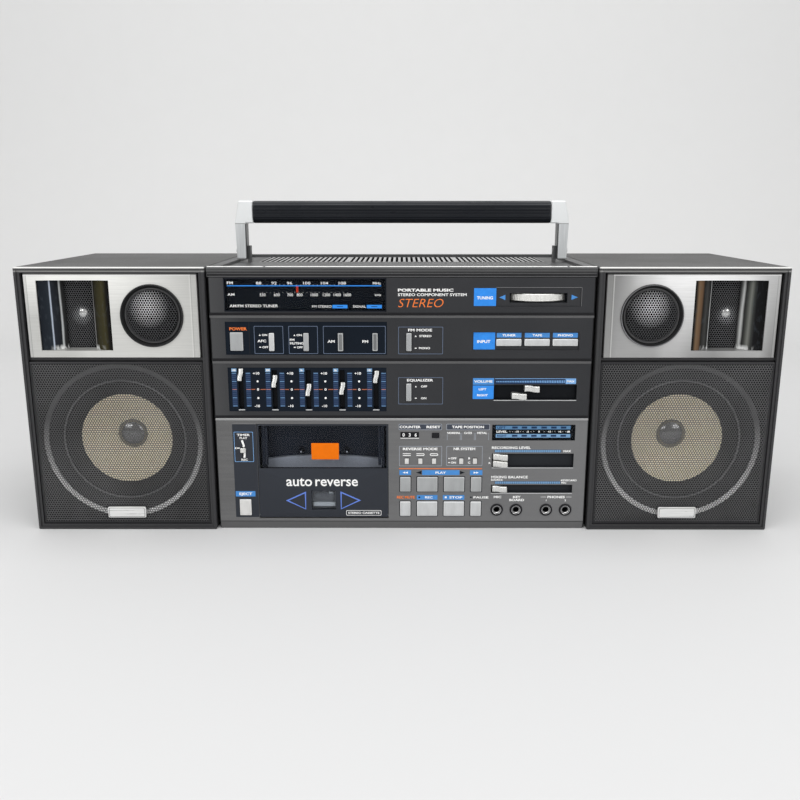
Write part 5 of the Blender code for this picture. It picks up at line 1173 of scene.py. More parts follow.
# Orange sticker on the door's window
sticker = crownedShape(-69.8 * mm, 74.8 * mm, 25.0 * mm, 15.4 * mm, doorY + 0.35 * mm, doorY + 0.2 * mm,
                       0.3 * mm, 0.05 * mm, 0.0)
meshPiece("orange_sticker", *sticker, labelOrange, "cassette_door", weld=True)

# Mechanism behind the window: curved pad, eyelet, spindle cups, heads
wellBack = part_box("left_spindle")[1].y
reels = {"z": 71.25, "half": 21.25}
pad = {"top": 66.6, "drop": 3.8, "half": 53.2, "foot": 53.0}
mechanism = mouldedFinish("mechanismGrey", (0.022, 0.026, 0.034), 0.42, 0.12, 1400, 0.02 * mm)
padGrey = mouldedFinish("padGrey", (0.62, 0.62, 0.61), 0.40, 0.06, 1400, 0.02 * mm)
u = np.linspace(-1, 1, 41)
padTop = np.stack([doorX + u * pad["half"], pad["top"] - pad["drop"] * u ** 2], -1)
front, back = wellBack - 7.0 * mm, wellBack - 0.05 * mm
# Pad: the arch z = top - drop u^2 joined down to a level foot, extruded along Y with a chamfer
rows = [np.stack([padTop[:, 0] * mm, np.full(len(u), y), (padTop[:, 1] - d) * mm], -1)
        for y, d in ((back, 0), (front + 0.5 * mm, 0), (front, 0.5))]
rows += [np.stack([padTop[:, 0] * mm, np.full(len(u), y), np.full(len(u), pad["foot"]) * mm], -1) for y in (front, back)]
meshPiece("curved_pad", np.concatenate(rows), gridFaces(len(rows), len(u)), padGrey, crisp=30, toward=(0, -1, 0))
eyelet = latheShape([(0.9, 0), (2.5, 0), (2.5, 2.0), (2.1, 2.4), (1.3, 2.4), (0.9, 0.6), (0.9, 0)],
                    (-69.4 * mm, wellBack, 80.2 * mm), 32)
cup = [(0, 0.05), (10.3, 0.05), (10.6, 0.35), (10.3, 0.65), (9.7, 0.35), (9.4, 0.12), (0, 0.12)]
cups = [latheShape(cup, ((doorX + s * reels["half"]) * mm, wellBack, reels["z"] * mm), 64) for s in (-1, 1)]
weldedPiece("spindle_cups", [eyelet, *cups], blackPlastic)
# Seen through the small window: a grey head base, a pale patch at its upper right as a painted glint, and a level
# silver bar
headGrey = mouldedFinish("headGrey", (0.150, 0.150, 0.156), 0.45, 0.14, 700, 0.05 * mm)
headFront = doorBack + 2.4 * mm
headBase = crownedShape(doorX * mm, 27.5 * mm, 46 * mm, 20.0 * mm, wellBack, headFront, 1.2 * mm, 0.8 * mm, 0.02 * mm)
meshPiece("head_base", *headBase, headGrey, weld=True)
headGlint = crownedShape((doorX + 6.6) * mm, 33.6 * mm, 4.6 * mm, 1.8 * mm, headFront + 0.1 * mm, headFront - 1.0 * mm,
                        0.5 * mm, 0.5 * mm, 0.1 * mm)
bar = barShape(((doorX - 10.6) * mm, headFront - 1.6 * mm, 20.2 * mm),
               ((doorX + 10.6) * mm, headFront + 0.1 * mm, 24.4 * mm), 0.6 * mm)
weldedPiece("tape_head", [headGlint, bar], buttonPale)


def spindlePiece(name):
    # Reel table and hub: radius = profile(reach) less three drive flats as cos(3a)
    low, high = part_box(name)
    cx, cz, reach = (low.x + high.x) / 2, (low.z + high.z) / 2, high.y - low.y
    full = (high.x - low.x) / 2
    angle = np.linspace(0, 2 * math.pi, 96, endpoint=False)
    rim, tall = full / mm, reach / mm
    # Radius, reach and share of the flats, row by row
    rows = np.array([(0, 0, 0), (rim, 0, 0), (rim, 1.1, 0), (rim - 0.3, 1.4, 0), (rim - 1.4, 1.4, 0),
                     (rim - 1.6, 1.1, 0), (3.1, 1.1, 0), (2.9, 1.6, 0), (2.9, 2.0, 1), (2.8, tall - 1.6, 1),
                     (1.9, tall - 0.5, 1), (0.9, tall, 0), (0, tall, 0)])
    fins = 0.75 * np.clip(np.cos(3 * angle) * 4, -1, 1)
    radius = np.maximum(rows[:, :1] + rows[:, 2:] * (fins[None] * 0.5 - 0.35), 0)
    grid = np.stack([cx + radius * mm * np.cos(angle), high.y - rows[:, 1:2] * mm + 0 * angle[None],
                     cz + radius * mm * np.sin(angle)], -1)
    piece = meshPiece(name + "_hub", grid.reshape(-1, 3), gridFaces(len(rows), 96, False, True), blackPlastic,
                      name, weld=True)
    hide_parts(name)
    # A white tip: a painted glint on the spindle's end
    tip = [(0, tall + 0.02), (0.7, tall + 0.02), (0.9, tall - 0.05), (0.8, tall - 0.4), (0, tall - 0.4)]
    lathe(name + "_tip", tip, (cx, high.y, cz), inkWhite, name, 24)


spindlePiece("left_spindle")
spindlePiece("right_spindle")
print("door and mechanism made")

# Print on the door
lettering(doorY, [("auto", (-106.1, -82.4), 46.4, 9.4, 1.25, 0.014),
                  ("reverse", (-79.4, -40.3), 46.4, 9.4, 1.25, 0.014),
                  ("STEREO CASSETTE", (-49.6, -20.6), 15.5, 1.9)], "cassette_door")
for corners in ([(-105.6, 27.4), (-88.8, 35.3), (-88.8, 19.2)], [(-38.9, 27.7), (-55.9, 35.5), (-55.9, 19.4)]):
    stroke(inkViolet, corners, doorY, 1.2, "cassette_door", closed=True)
outline(inkWhite, -51.4, -18.8, 12.9, 18.0, doorY, 0.4, "cassette_door", 1.0)

# Dark strip beside the door: a thin sheet with holes for the lever and the eject key, and its print
low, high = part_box("timer_lever")
keyLow, keyHigh = (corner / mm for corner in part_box("eject_button"))
leverX, leverZ = (low.x + high.x) / 2, (low.z + high.z) / 2
holes = [edges(leverX / mm, leverZ / mm, 2.0, 15.2),
         (keyLow.x + 0.75, keyHigh.x - 0.75, keyLow.z + 0.75, keyHigh.z - 0.75)]
stripY = faceY - 0.06 * mm
flatPiece("door_strip", [sheetWithHoles(-153.6, -131.9, 11.3, 100.4, stripY, holes)], doorGrey)
# A painted highlight along the strip's top edge
weldedPiece("strip_edge", [rail(-153.8, -131.9, 100.4, 100.95, 0.2, 0.12)], edgeGlintGrey)
outline(inkPale, -152.4, -135.0, 64.8, 93.2, stripY, 0.4)
panel(inkSoft, -153.0, -134.9, 31.4, 36.6, stripY)
lettering(stripY, [("TIMER", (-149.6, -137.8), 90.3, 2.0), ("PLAY", (-147.2, -140.2), 87.4, 1.8),
                   ("REC", (-146.4, -140.6), 66.9, 1.8)])
words("EJECT", (-149.7, -137.9), 34.0, 2.3, stripY - 0.05 * mm)
for path in ([(-145.3, 85.2), (-143.6, 80.0), (-144.4, 79.0)], [(-144.2, 75.4), (-143.0, 74.2), (-143.6, 68.8)]):
    stroke(inkWhite, path, stripY, 1.9)
stroke(inkWhite, [(-151.0, 77.8), (-147.6, 77.9)], stripY, 1.1)
disc(inkWhite, -150.9, 77.8, 1.0, stripY)

# Timer lever: a small silver finger
finger = crownedShape(leverX, leverZ, 5.2 * mm, high.z - low.z - 1.6 * mm, high.y, low.y, 0.8 * mm, 0.7 * mm,
                      0.2 * mm, 0.8 * mm, 1.2 * mm)
leverPiece = weldedPiece("timer_lever_finger", [finger], sliderSilver, "timer_lever")
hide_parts("timer_lever")

# Print on the deck's right half
onBlue = faceY - 0.04 * mm
frameInk = inkFinish("frameGrey", (0.310, 0.330, 0.370))
frameFill = inkFinish("frameFill", (0.050, 0.058, 0.078))
for x0, x1 in ((-2.7, 36.4), (40.4, 79.8)):
    panel(frameFill, x0, x1, 95.0, 100.8, faceY)
    outline(frameInk, x0, x1, 95.0, 100.8, onBlue, 0.5)
outline(frameInk, -2.4, 36.7, 60.8, 79.9, faceY, 0.5)
outline(frameInk, 40.7, 73.7, 61.2, 79.9, faceY, 0.5)
lettering(onBlue, [("COUNTER", (-1.9, 17.2), 97.9, 2.2), ("RESET", (22.4, 35.2), 97.9, 2.2),
                   ("TAPE POSITION", (45.4, 74.4), 97.9, 2.2)], bold=0.035)
lettering(onBlue, [("PLAY", (30.9, 40.6), 54.6, 2.0), ("REC", 25.0, 30.7, 2.0, 1.4),
                   ("STOP", (43.9, 56.0), 30.7, 2.0)])
for x0, x1, text in ((41.3, 53.1, "NORMAL"), (54.3, 65.8, "CrO2"), (67.0, 78.8, "METAL")):
    words(text, (x0 + x1) / 2, 92.3, 1.8, faceY, wide=1.15, bold=0.035)
    for x, way in ((x0, 1), (x1, -1)):
        stroke(frameInk, [(x, 85.6), (x, 92.0), (x + 0.6 * way, 92.0)], faceY, 0.5)
lettering(faceY, [
    ("REVERSE MODE", (1.0, 32.6), 77.2, 2.2), ("NR SYSTEM", (47.2, 66.9), 77.3, 2.2), ("OFF", 47.3, 68.3, 1.8, 1.2),
    ("ON", 47.2, 64.2, 1.8, 1.2), ("B", 61.6, 68.3, 1.8, 1.2), ("C", 61.6, 64.2, 1.8, 1.2),
    ("MIC", (84.8, 91.9), 31.1, 2.1), ("KEY", (102.6, 109.8), 31.1, 2.1), ("BOARD", (99.3, 113.0), 28.2, 2.1),
    ("PHONES", (134.4, 150.4), 31.1, 2.1)], bold=0.035)
lettering(faceY, [
    ("PAUSE", (66.2, 80.0), 30.7, 2.0), ("RECORDING LEVEL", (82.0, 117.4), 78.4, 2.3, 1.25, 0.025),
    ("MAX", 150.7, 75.2, 1.9, 1.2), ("L", 80.4, 68.6, 1.7, 1.2), ("R", 80.4, 63.8, 1.7, 1.2),
    ("MIXING BALANCE", (82.1, 115.6), 50.4, 2.3, 1.25, 0.025), ("SOURCE", (82.0, 92.6), 47.7, 1.6),
    ("KEYBOARD", (146.2, 160.6), 47.3, 1.6), ("MIC", (146.4, 151.2), 44.9, 1.6), ("1", 133.4, 27.9, 1.7),
    ("2", 151.0, 27.9, 1.7)])
words("REC MUTE", (-4.4, 12.0), 30.8, 2.4, faceY, ink=inkOrange)
switchMarks(43.2, 68.3, 64.2, faceY, 1.4)


def runway(x, z, kind):
    # Tape travel signs: two level strokes, joined on one or both sides by half circles
    half, tall = 2.6, 0.85
    bend = np.linspace(-math.pi / 2, math.pi / 2, 7)
    right = np.stack([x + half + tall * np.cos(bend), z + tall * np.sin(bend)], -1)
    left = np.stack([x - half - tall * np.cos(bend), z - tall * np.sin(bend)], -1)
    if kind == "once":
        stroke(inkWhite, [(x - half - 1, z + tall), (x + half + 1, z + tall)], faceY, 0.65)
        stroke(inkWhite, [(x - half - 1, z - tall), (x + half + 1, z - tall)], faceY, 0.65)
    elif kind == "both":
        stroke(inkWhite, [(x - half - 1, z - tall), *right, (x - half - 1, z + tall)], faceY, 0.65)
    else:
        stroke(inkWhite, [*right, *left], faceY, 0.65, closed=True)


for x, kind in ((4.6, "once"), (17.0, "both"), (29.4, "round")):
    runway(x, 71.8, kind)
panels(faceY, (inkOrange, -2.4, 73.5, 58.1, 58.8), (inkSoft, -2.1, 8.6, 52.3, 56.9),
       (inkSoft, 62.5, 73.9, 52.3, 56.9), (inkSoft, 18.7, 52.9, 52.3, 57.0),
       (inkSoft, 13.9, 33.0, 28.4, 32.9), (inkSoft, 37.9, 57.7, 28.4, 32.9),
       (inkWhite, 128.2, 133.2, 30.95, 31.25), (inkWhite, 151.6, 156.6, 30.95, 31.25))
# Pairs of arrowheads on the winding keys' labels
size, z = 1.9, 54.6
for x, way in ((3.2, -1), (68.2, 1)):
    for shift in (-1.0, 1.0):
        tip, tail = x + (shift + way) * size * 0.62, x + (shift - way) * size * 0.62
        polygon(inkWhite, [(tip, z), (tail, z + size / 2), (tail, z - size / 2)], onBlue)
polygon(inkDark, [(13.0, 54.6), (18.2, 56.3), (18.2, 52.9)], faceY)
polygon(inkDark, [(58.0, 54.6), (53.3, 56.3), (53.3, 52.9)], faceY)
disc(inkDark, 16.2, 30.7, 0.9, onBlue)
panel(inkWhite, 39.7, 41.5, 29.8, 31.6, onBlue)
disc(inkDark, 63.8, 30.7, 0.85, faceY)
for name in transportKeys:
    low, high = (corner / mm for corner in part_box(name + "_button"))
    outline(inkDark, low.x + 0.1, high.x - 0.1, low.z + 0.1, high.z - 0.1, faceY, 0.7)
# Striped scales over the recording level and mixing sliders
for x0, x1, z0, z1, first, last in ((84.6, 145.2, 73.9, 76.5, 85.0, 144.5), (85.4, 145.9, 43.8, 46.3, 85.8, 145.0)):
    panel(inkDeep, x0, x1, z0, z1, faceY)
    for x in np.arange(first, last, 2.0):
        panel(inkSky, x, x + 1.6, z0 + 0.2, z1 - 0.2, onBlue)

# Level meter: a dark window with two blue bands and the scale between them
flatPiece("meter_tray", [trayShape(*pocket("meter"), faceY + 0.1 * mm, faceY + 2.85 * mm)], pocketBlack)
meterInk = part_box("meter_window")[0].y
panels(meterInk, (inkMeter, 85.3, 152.9, 95.5, 98.9), (inkSky, 85.3, 152.9, 87.8, 91.2))
words("LEFT", (86.6, 94.0), 97.2, 2.0, meterInk - 0.04 * mm, ink=inkDeep)
words("RIGHT", (86.6, 95.2), 89.5, 2.0, meterInk - 0.04 * mm, ink=inkDeep)
levels = {104.4: "-10", 114.1: "-5", 124.4: "0", 133.7: "+3", 143.2: "+6", 151.0: "dB"}
lettering(meterInk, [("LEVEL", (85.9, 95.6), 93.4, 1.9), *[(text, x, 93.4, 1.6, 1.15) for x, text in levels.items()]])
for x in np.arange(98.0, 149.0, 2.4):
    if min(abs(x - v) for v in list(levels)[:-1]) > 2.6:
        disc(inkWhite, x, 93.4, 0.28, meterInk, steps=6)
for x in (100.0, 108.6, 117.4, 126.4, 135.2, 144.0):
    panels(meterInk - 0.03 * mm, (inkDeep, x, x + 5.0, 88.6, 90.4), (inkDeep, x, x + 5.0, 96.3, 98.2))

# Tape counter: three digit wheels in a black window
flatPiece("counter_tray", [trayShape(*pocket("counter"), faceY + 0.05 * mm, faceY + 1.0 * mm)], blackPlastic)
digits = {1.7: "0", 7.2: "3", 12.7: "6"}
drum = [(0.5, -2.4), (4.6, -2.4), (4.75, -2.2), (4.75, 2.2), (4.6, 2.4), (0.5, 2.4)]
drums = [latheShape(drum, (x * mm, faceY + 5.3 * mm, 90.4 * mm), 40, "side") for x in digits]
weldedPiece("digit_wheels", drums, blackPlastic)
lettering(faceY + 0.5 * mm, [(text, x, 90.3, 3.1, 0.95) for x, text in digits.items()])
panel(inkWhite, -1.2, 15.7, 87.05, 87.6, faceY)

# Small two-way switches of the reverse and noise panels
wells, nubs = [], []
for x in (4.6, 17.0, 29.5, 54.3, 66.8):
    wells.append(trayShape(x * mm, 66.0 * mm, 4.1 * mm, 6.0 * mm, faceY + 0.05 * mm, faceY + 1.9 * mm, 0.05 * mm))
    nubs.append(crownedShape(x * mm, 65.55 * mm, 3.7 * mm, 4.9 * mm, faceY + 1.9 * mm, faceY - 1.1 * mm,
                             0.4 * mm, 0.45 * mm, 0.12 * mm))
flatPiece("small_switch_wells", wells, blackPlastic)
weldedPiece("small_switch_nubs", nubs, keyBright)

# Jack sockets: black nut, bright funnel and the dark throat
nut = [(5.35, -0.3), (5.9, 0), (5.7, 0.7), (5.3, 1.0), (4.5, 1.1), (4.1, 0.9), (4.1, 0.4), (5.35, 0.4), (5.35, -0.3)]
nuts, funnels, throats = [], [], []
for x in (87.9, 105.7, 133.4, 151.2):
    centre = (x * mm, faceY, 18.7 * mm)
    nuts.append(latheShape(nut, centre, 48))
    funnels.append(latheShape([(4.12, 0.9), (3.9, 0.85), (2.7, -0.45), (2.55, -2.2)], centre, 48))
    throats.append(latheShape([(2.6, -1.8), (2.55, -2.2), (2.7, -9.0), (0, -9.0)], centre, 32))
weldedPiece("jack_nuts", nuts, blackPlastic)
meshPiece("jack_funnels", *gather(funnels), ringChrome, toward=(0, -1, 0))
meshPiece("jack_throats", *gather(throats), blackPlastic, toward=(0, -1, 0))
print("deck print and details made")


def honeycomb(columns, rows, pitch, radius, centre=(0.0, 0.0)):
    # Hexagons about every hole, centred: neighbours share cell corners, and each hole is a smaller hexagon
    c, r = np.meshgrid(np.arange(columns), np.arange(rows), indexing="ij")
    middle = np.stack([((c + 0.5 * (r % 2)) * pitch).ravel(), (r * pitch * math.sqrt(3) / 2).ravel()], -1)
    middle += np.array(centre) - np.array([(columns - 0.5) * pitch / 2, (rows - 1) * pitch * math.sqrt(3) / 4])
    turn = math.radians(30) + np.arange(6) * math.pi / 3
    ring = np.stack([np.cos(turn), np.sin(turn)], -1)
    return middle, middle[:, None] + ring * pitch / math.sqrt(3), middle[:, None] + ring * radius


def perforatedSheet(cell, hole, thick, place):
    # Each cell: its hexagon to the hole's rim in front, then the hole's wall; place maps flat points to space
    front = np.zeros((len(cell), 6, 1))
    flat = np.concatenate([
        np.concatenate([cell, front], -1), np.concatenate([hole, front], -1),
        np.concatenate([hole, front + thick], -1)], 1)
    k = np.arange(6)
    n = (k + 1) % 6
    faces = np.concatenate([np.stack([k, n, 6 + n, 6 + k], -1), np.stack([6 + k, 6 + n, 12 + n, 12 + k], -1)])
    faces = (faces[None] + 18 * np.arange(len(cell))[:, None, None]).reshape(-1, 4)
    return place(flat.reshape(-1, 3)), faces


speaker = {"x": 254.25, "pitch": 2.3, "hole": 1.02, "border": 1.2, "skin": 0.35, "badge": (35.0, 10.5, 16.3),
           "woofer": 83.0, "seatY": -92.8, "windowY": -98.25, "throatY": -86.6, "feltY": -84.42,
           "hornX": 287.45, "hornZ": 198.65, "midX": 219.55}


def wooferGrille(tag):
    # Honeycomb sheet without the cells that the badge covers, its frame and the bare badge plate
    body = tag + "_speaker"
    low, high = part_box(tag + "_woofer_grille")
    cx = (low.x + high.x) / 2
    front = rimY + 2.0 * mm
    x0, x1, z0, z1 = low.x, high.x, low.z, high.z
    border = speaker["border"] * mm
    pitch = speaker["pitch"] * mm
    columns = int((x1 - x0 - 2 * border) / pitch)
    rows = int((z1 - z0 - 2 * border) / (pitch * math.sqrt(3) / 2))
    spanX, spanZ = (columns - 0.5) * pitch, (rows - 1) * pitch * math.sqrt(3) / 2
    middle, cell, hole = honeycomb(columns, rows, pitch, speaker["hole"] * mm, (cx, (z0 + z1) / 2))
    badgeW, badgeH, badgeZ = (v * mm for v in speaker["badge"])
    apart = np.abs(middle - np.array([cx, badgeZ])) - np.array([badgeW, badgeH]) / 2
    keep = (apart >= 0.4 * mm).any(1)
    sheet = perforatedSheet(cell[keep], hole[keep], speaker["skin"] * mm,
                            lambda p: np.stack([p[:, 0], front + p[:, 2], p[:, 1]], -1))
    piece = meshPiece(tag + "_grille_mesh", *sheet, grilleBlack, body, smooth=False, toward=(0, -1, 0))
    # Plain border with a soft outer edge, folded back to the seat
    inner = (spanX / 2 + pitch * 0.20, spanZ / 2 + pitch * 0.15)
    halfW, halfH = (x1 - x0) / 2, (z1 - z0) / 2
    rows = [(halfW, halfH, 1.2 * mm, high.y), (halfW, halfH, 1.2 * mm, front + 0.9 * mm),
            (halfW - 0.25 * mm, halfH - 0.25 * mm, 1.1 * mm, front + 0.25 * mm),
            (halfW - 0.9 * mm, halfH - 0.9 * mm, 0.8 * mm, front - 0.02 * mm),
            (inner[0], inner[1], 0.2 * mm, front - 0.02 * mm), (inner[0], inner[1], 0.2 * mm, front + 0.7 * mm),
            (halfW - 1.4 * mm, halfH - 1.4 * mm, 0.8 * mm, front + 1.2 * mm),
            (halfW - 1.4 * mm, halfH - 1.4 * mm, 0.8 * mm, high.y)]
    shape = ringShape([(2 * w, 2 * h, r, cx, (z0 + z1) / 2, y) for w, h, r, y in rows])
    border = weldedPiece(tag + "_grille_frame", [shape], frameBlack, body)
    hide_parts(tag + "_woofer_grille")
    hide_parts(tag + "_woofer_grille")
    badge = crownedShape(cx, badgeZ, badgeW, badgeH, front + 0.7 * mm, front - 0.85 * mm, 1.2 * mm, 0.4 * mm,
                         0.05 * mm)
    plate = weldedPiece(tag + "_badge_plate", [badge], badgeMetal, body)
    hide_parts(tag + "_woofer_grille")
    outline(inkDark, cx / mm - 16.4, cx / mm + 16.4, 11.9, 20.7, front - 0.9 * mm, 0.3, body, 0.9)


def wooferUnit(side, tag):
    # Profiles of (radius, height in front of the seat) in millimetres, turned round the cone's axis
    cx = side * speaker["x"] * mm
    seat = (cx, speaker["seatY"] * mm, speaker["woofer"] * mm)
    turn = np.linspace(0, math.pi, 13)
    roll = [(54.6, -3.2)] + [
        (47.9 + 6.1 * math.cos(t), -4.6 - 2.4 * (1 - math.cos(t)) + 2.6 * math.sin(t)) for t in turn]
    share = np.linspace(0, 1, 15)
    cone = [(41.8 - 28.0 * v, -8.9 - 17.4 * v ** 0.92 + 0.15 * math.cos(v * 26)) for v in share]
    quarter = np.linspace(0, math.pi / 2, 9)
    parts = {
        "basket": (basketPaint, [
            (67.8, 1.6), (66.0, 0.9), (62.0, -1.0), (56.4, -2.9), (56.2, -4.4), (54.0, -10), (50, -30), (40, -39),
            (0, -39.8), (0, -41), (41, -41), (52, -31), (62, -4), (64, -0.6), (67.8, 0), (67.8, 1.6)]),
        "ring": (wooferRing, [(72.5, 0), (72.5, 2.2), (72.1, 2.6), (71.2, 2.75), (69.2, 2.3), (68.1, 1.7), (67.9, 0),
                              (72.5, 0)]),
        # A thin bead on the basket, pale as a painted highlight
        "bead": (edgeGlintGrey, [(56.3, -3.4), (56.2, -2.7), (55.6, -2.3), (55.0, -2.5), (54.7, -3.4), (56.3, -3.4)]),
        "surround": (rubberRoll, roll + [(41.4, -10.4), (48.6, -10.0), (54.6, -3.9), (54.6, -3.2)]),
        "cone": (paperCone, cone + [(r - 0.2, h - 0.7) for r, h in reversed(cone)] + [cone[0]]),
        "cap": (capChrome, [(0, -20.6)] + [(13.2 * math.sin(t), -26.4 + 5.8 * math.cos(t)) for t in quarter[1:]]
                + [(14.2, -26.6), (14.2, -27.4), (0, -27.4)]),
        "magnet": (blackPlastic, [(0, -40.5), (39.5, -40.5), (40, -41), (40, -56.3), (39.5, -56.8), (0, -56.8)]),
    }
    for name, (finish, profile) in parts.items():
        piece = lathe(f"{tag}_woofer_{name}_part", profile, seat, finish, tag + "_speaker", 128)
        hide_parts(tag + "_woofer")


def midUnit(side, tag):
    # Perforated dome: flat honeycomb lifted to height = rise sqrt(1 - r r / (R R)), in a dark ring
    cx, cz = side * speaker["midX"] * mm, speaker["hornZ"] * mm
    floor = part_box(tag + "_mid_unit")[0].y + 5.0 * mm
    radius, rise, pitch = 24.2 * mm, 6.6 * mm, 2.25 * mm
    middle, cell, hole = honeycomb(29, 29, pitch, 1.06 * mm)
    keep = np.linalg.norm(middle, axis=1) < radius - pitch * 0.62

    def dome(p):
        share = np.clip((p[:, 0] ** 2 + p[:, 1] ** 2) / (radius * radius), 0, 1)
        lift = rise * np.sqrt(1 - share * 0.985)
        return np.stack([cx + p[:, 0], floor - 0.4 * mm - lift + p[:, 2], cz + p[:, 1]], -1)

    # Dome mesh: dark, with a painted highlight on its webs above the middle
    web = meshMetalFinish(tag + "MidMesh", (0.068, 0.069, 0.073), (0.80, 0.81, 0.83),
                          (cx - 2 * mm, floor - 7 * mm, cz + 7 * mm), 0.018, 0.2)
    sheet = perforatedSheet(cell[keep], hole[keep], 0.30 * mm, dome)
    net = meshPiece(tag + "_mid_dome_mesh", *sheet, web, tag + "_speaker", toward=(0, -1, 0), crisp=50)
    quarter = np.linspace(0, math.pi / 2, 8)
    backing = [(22.0 * math.sin(t), 3.6 * math.cos(t)) for t in quarter] + [(22.0, -0.5), (0, -0.5)]
    ring = [(22.6, 0.0), (22.8, 1.0), (23.4, 1.6), (24.2, 1.5), (24.6, 0.9), (24.7, 0.0), (22.6, 0)]
    cup = [(27.5, 4.9), (27.3, 5.0), (26.6, 5.0), (26.3, 4.7), (26.1, 0.6), (25.6, 0.15), (22.0, 0.15), (22.0, -0.6),
           (27.5, -0.6), (27.5, 4.9)]
    trim = [(27.55, 4.6), (27.5, 5.05), (27.1, 5.15), (26.7, 5.05), (26.5, 4.6), (27.55, 4.6)]
    motor = [(0, -4.7), (18.6, -4.7), (19.0, -5.1), (19.0, -31.0), (18.4, -31.6), (0, -31.6)]
    made = [net]
    for name, finish, profile in (("backing", voidBlack, backing), ("ring", lipGrey, ring), ("cup", feltDark, cup),
                                  ("trim", glintedRim, trim), ("motor", blackPlastic, motor)):
        made.append(lathe(f"{tag}_mid_{name}", profile, (cx, floor, cz), finish, tag + "_speaker"))
    for piece in made:
        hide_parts(tag + "_mid_unit")


# What each horn's flares mirror, from left to right across its window
mirrored = {
    "left": [(0.0, (0.003, 0.003, 0.004)), (0.04, (0.010, 0.013, 0.018)), (0.11, (0.014, 0.018, 0.024)),
             (0.155, (0.018, 0.023, 0.030)), (0.170, (0.50, 0.56, 0.66)), (0.183, (0.016, 0.019, 0.025)),
             (0.262, (0.012, 0.013, 0.016)), (0.274, (0.62, 0.64, 0.64)), (0.286, 0.03),
             (0.70, 0.05), (0.722, (0.52, 0.52, 0.51)), (0.740, (0.020, 0.019, 0.017)),
             (0.80, (0.030, 0.027, 0.013)), (0.90, (0.042, 0.037, 0.016)), (0.96, (0.008, 0.007, 0.006)),
             (1.0, 0.003)],
    "right": [(0.0, 0.004), (0.03, (0.014, 0.013, 0.011)), (0.06, (0.15, 0.095, 0.055)),
              (0.105, (0.115, 0.068, 0.038)), (0.135, (0.014, 0.013, 0.012)), (0.19, (0.045, 0.045, 0.043)),
              (0.25, 0.016), (0.262, (0.66, 0.67, 0.67)), (0.276, 0.03),
              (0.70, 0.05), (0.722, (0.60, 0.61, 0.60)), (0.740, 0.016),
              (0.765, (0.055, 0.057, 0.052)), (0.80, (0.16, 0.165, 0.15)), (0.835, (0.040, 0.042, 0.040)),
              (0.87, (0.008, 0.008, 0.009)), (1.0, 0.003)],
}


def hornUnit(side, tag):
    # Flares: across = half - pull sin(a), depth = 14 (1 - cos a), each swept up the window's height
    body, cx, cz = tag + "_speaker", side * speaker["hornX"] * mm, speaker["hornZ"] * mm
    half, pull, tall = 31.7 * mm, 18.9 * mm, 30.75 * mm
    proud = 0.14 * mm
    turn = np.linspace(0, math.pi / 2, 25)
    rise = np.linspace(-1, 1, 3)
    flare = flareFinish(tag + "Flare", cx, half, *mirrored[tag])
    for way, name in ((-1, "left_flare"), (1, "right_flare")):
        across = half - pull * np.sin(turn) - proud
        depth = speaker["windowY"] * mm + 14.0 * mm * (1 - np.cos(turn)) - proud * 0.4
        grid = np.stack([
            cx + way * across[:, None] + 0 * rise[None], depth[:, None] + 0 * rise[None],
            cz + tall * rise[None] + 0 * across[:, None]], -1)
        meshPiece(f"{tag}_{name}", grid.reshape(-1, 3), gridFaces(len(across), 3), flare, body,
                  toward=(0, -1, 0), crisp=60)
    # Throat: a perforated sheet with a painted highlight round the small dome that stands behind it
    pitch, swell = 2.1 * mm, 1.6 * mm
    middle, cell, hole = honeycomb(13, 35, pitch, 1.00 * mm)
    keep = (np.abs(middle[:, 0]) < 12.9 * mm) & (np.abs(middle[:, 1]) < 30.6 * mm)
    web = meshMetalFinish(tag + "ThroatMesh", (0.100, 0.101, 0.105), (0.42, 0.43, 0.44),
                          (cx + 2 * mm, -86 * mm, cz - 1 * mm), 0.010, 0.1)
    felt = sheetShape(cx - 13 * mm, cx + 13 * mm, cz - 30.7 * mm, cz + 30.7 * mm, speaker["feltY"] * mm)
    flatPiece(tag + "_throat_felt", [felt], voidBlack, body)
    sheet = perforatedSheet(
        cell[keep], hole[keep], 0.25 * mm,
        lambda p: np.stack([cx + p[:, 0], speaker["throatY"] * mm + p[:, 2] + swell * (p[:, 0] / (13 * mm)) ** 2,
                            cz + p[:, 1]], -1))
    meshPiece(tag + "_throat_mesh", *sheet, web, body, smooth=False, toward=(0, -1, 0))
    quarter = np.linspace(0, math.pi / 2, 8)
    dome = [(0, 1.6)] + [(4.2 * math.sin(t), 1.6 * math.cos(t)) for t in quarter[1:]] + [(4.6, -0.2), (0, -0.2)]
    lathe(tag + "_tweeter_dome", dome, (cx + 2.2 * mm, -84.5 * mm, cz + 1.0 * mm), chrome, body, 32)


for side, tag in ((-1, "left"), (1, "right")):
    wooferGrille(tag)
    wooferUnit(side, tag)
    midUnit(side, tag)
    hornUnit(side, tag)
print("speakers made")


# Handle: a soft grip with lengthwise ribs on the silver frame, and pivot screws
grip = {"ribs": 30, "ribDepth": 0.28 * mm, "corner": 6.0 * mm}
low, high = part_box("handle_grip")
gy, gz = (low.y + high.y) / 2, (low.z + high.z) / 2
depthG, heightG = high.y - low.y, high.z - low.z
ring = roundedOutline(depthG, heightG, grip["corner"], 24)
step = np.linalg.norm(np.roll(ring, -1, 0) - ring, axis=1)
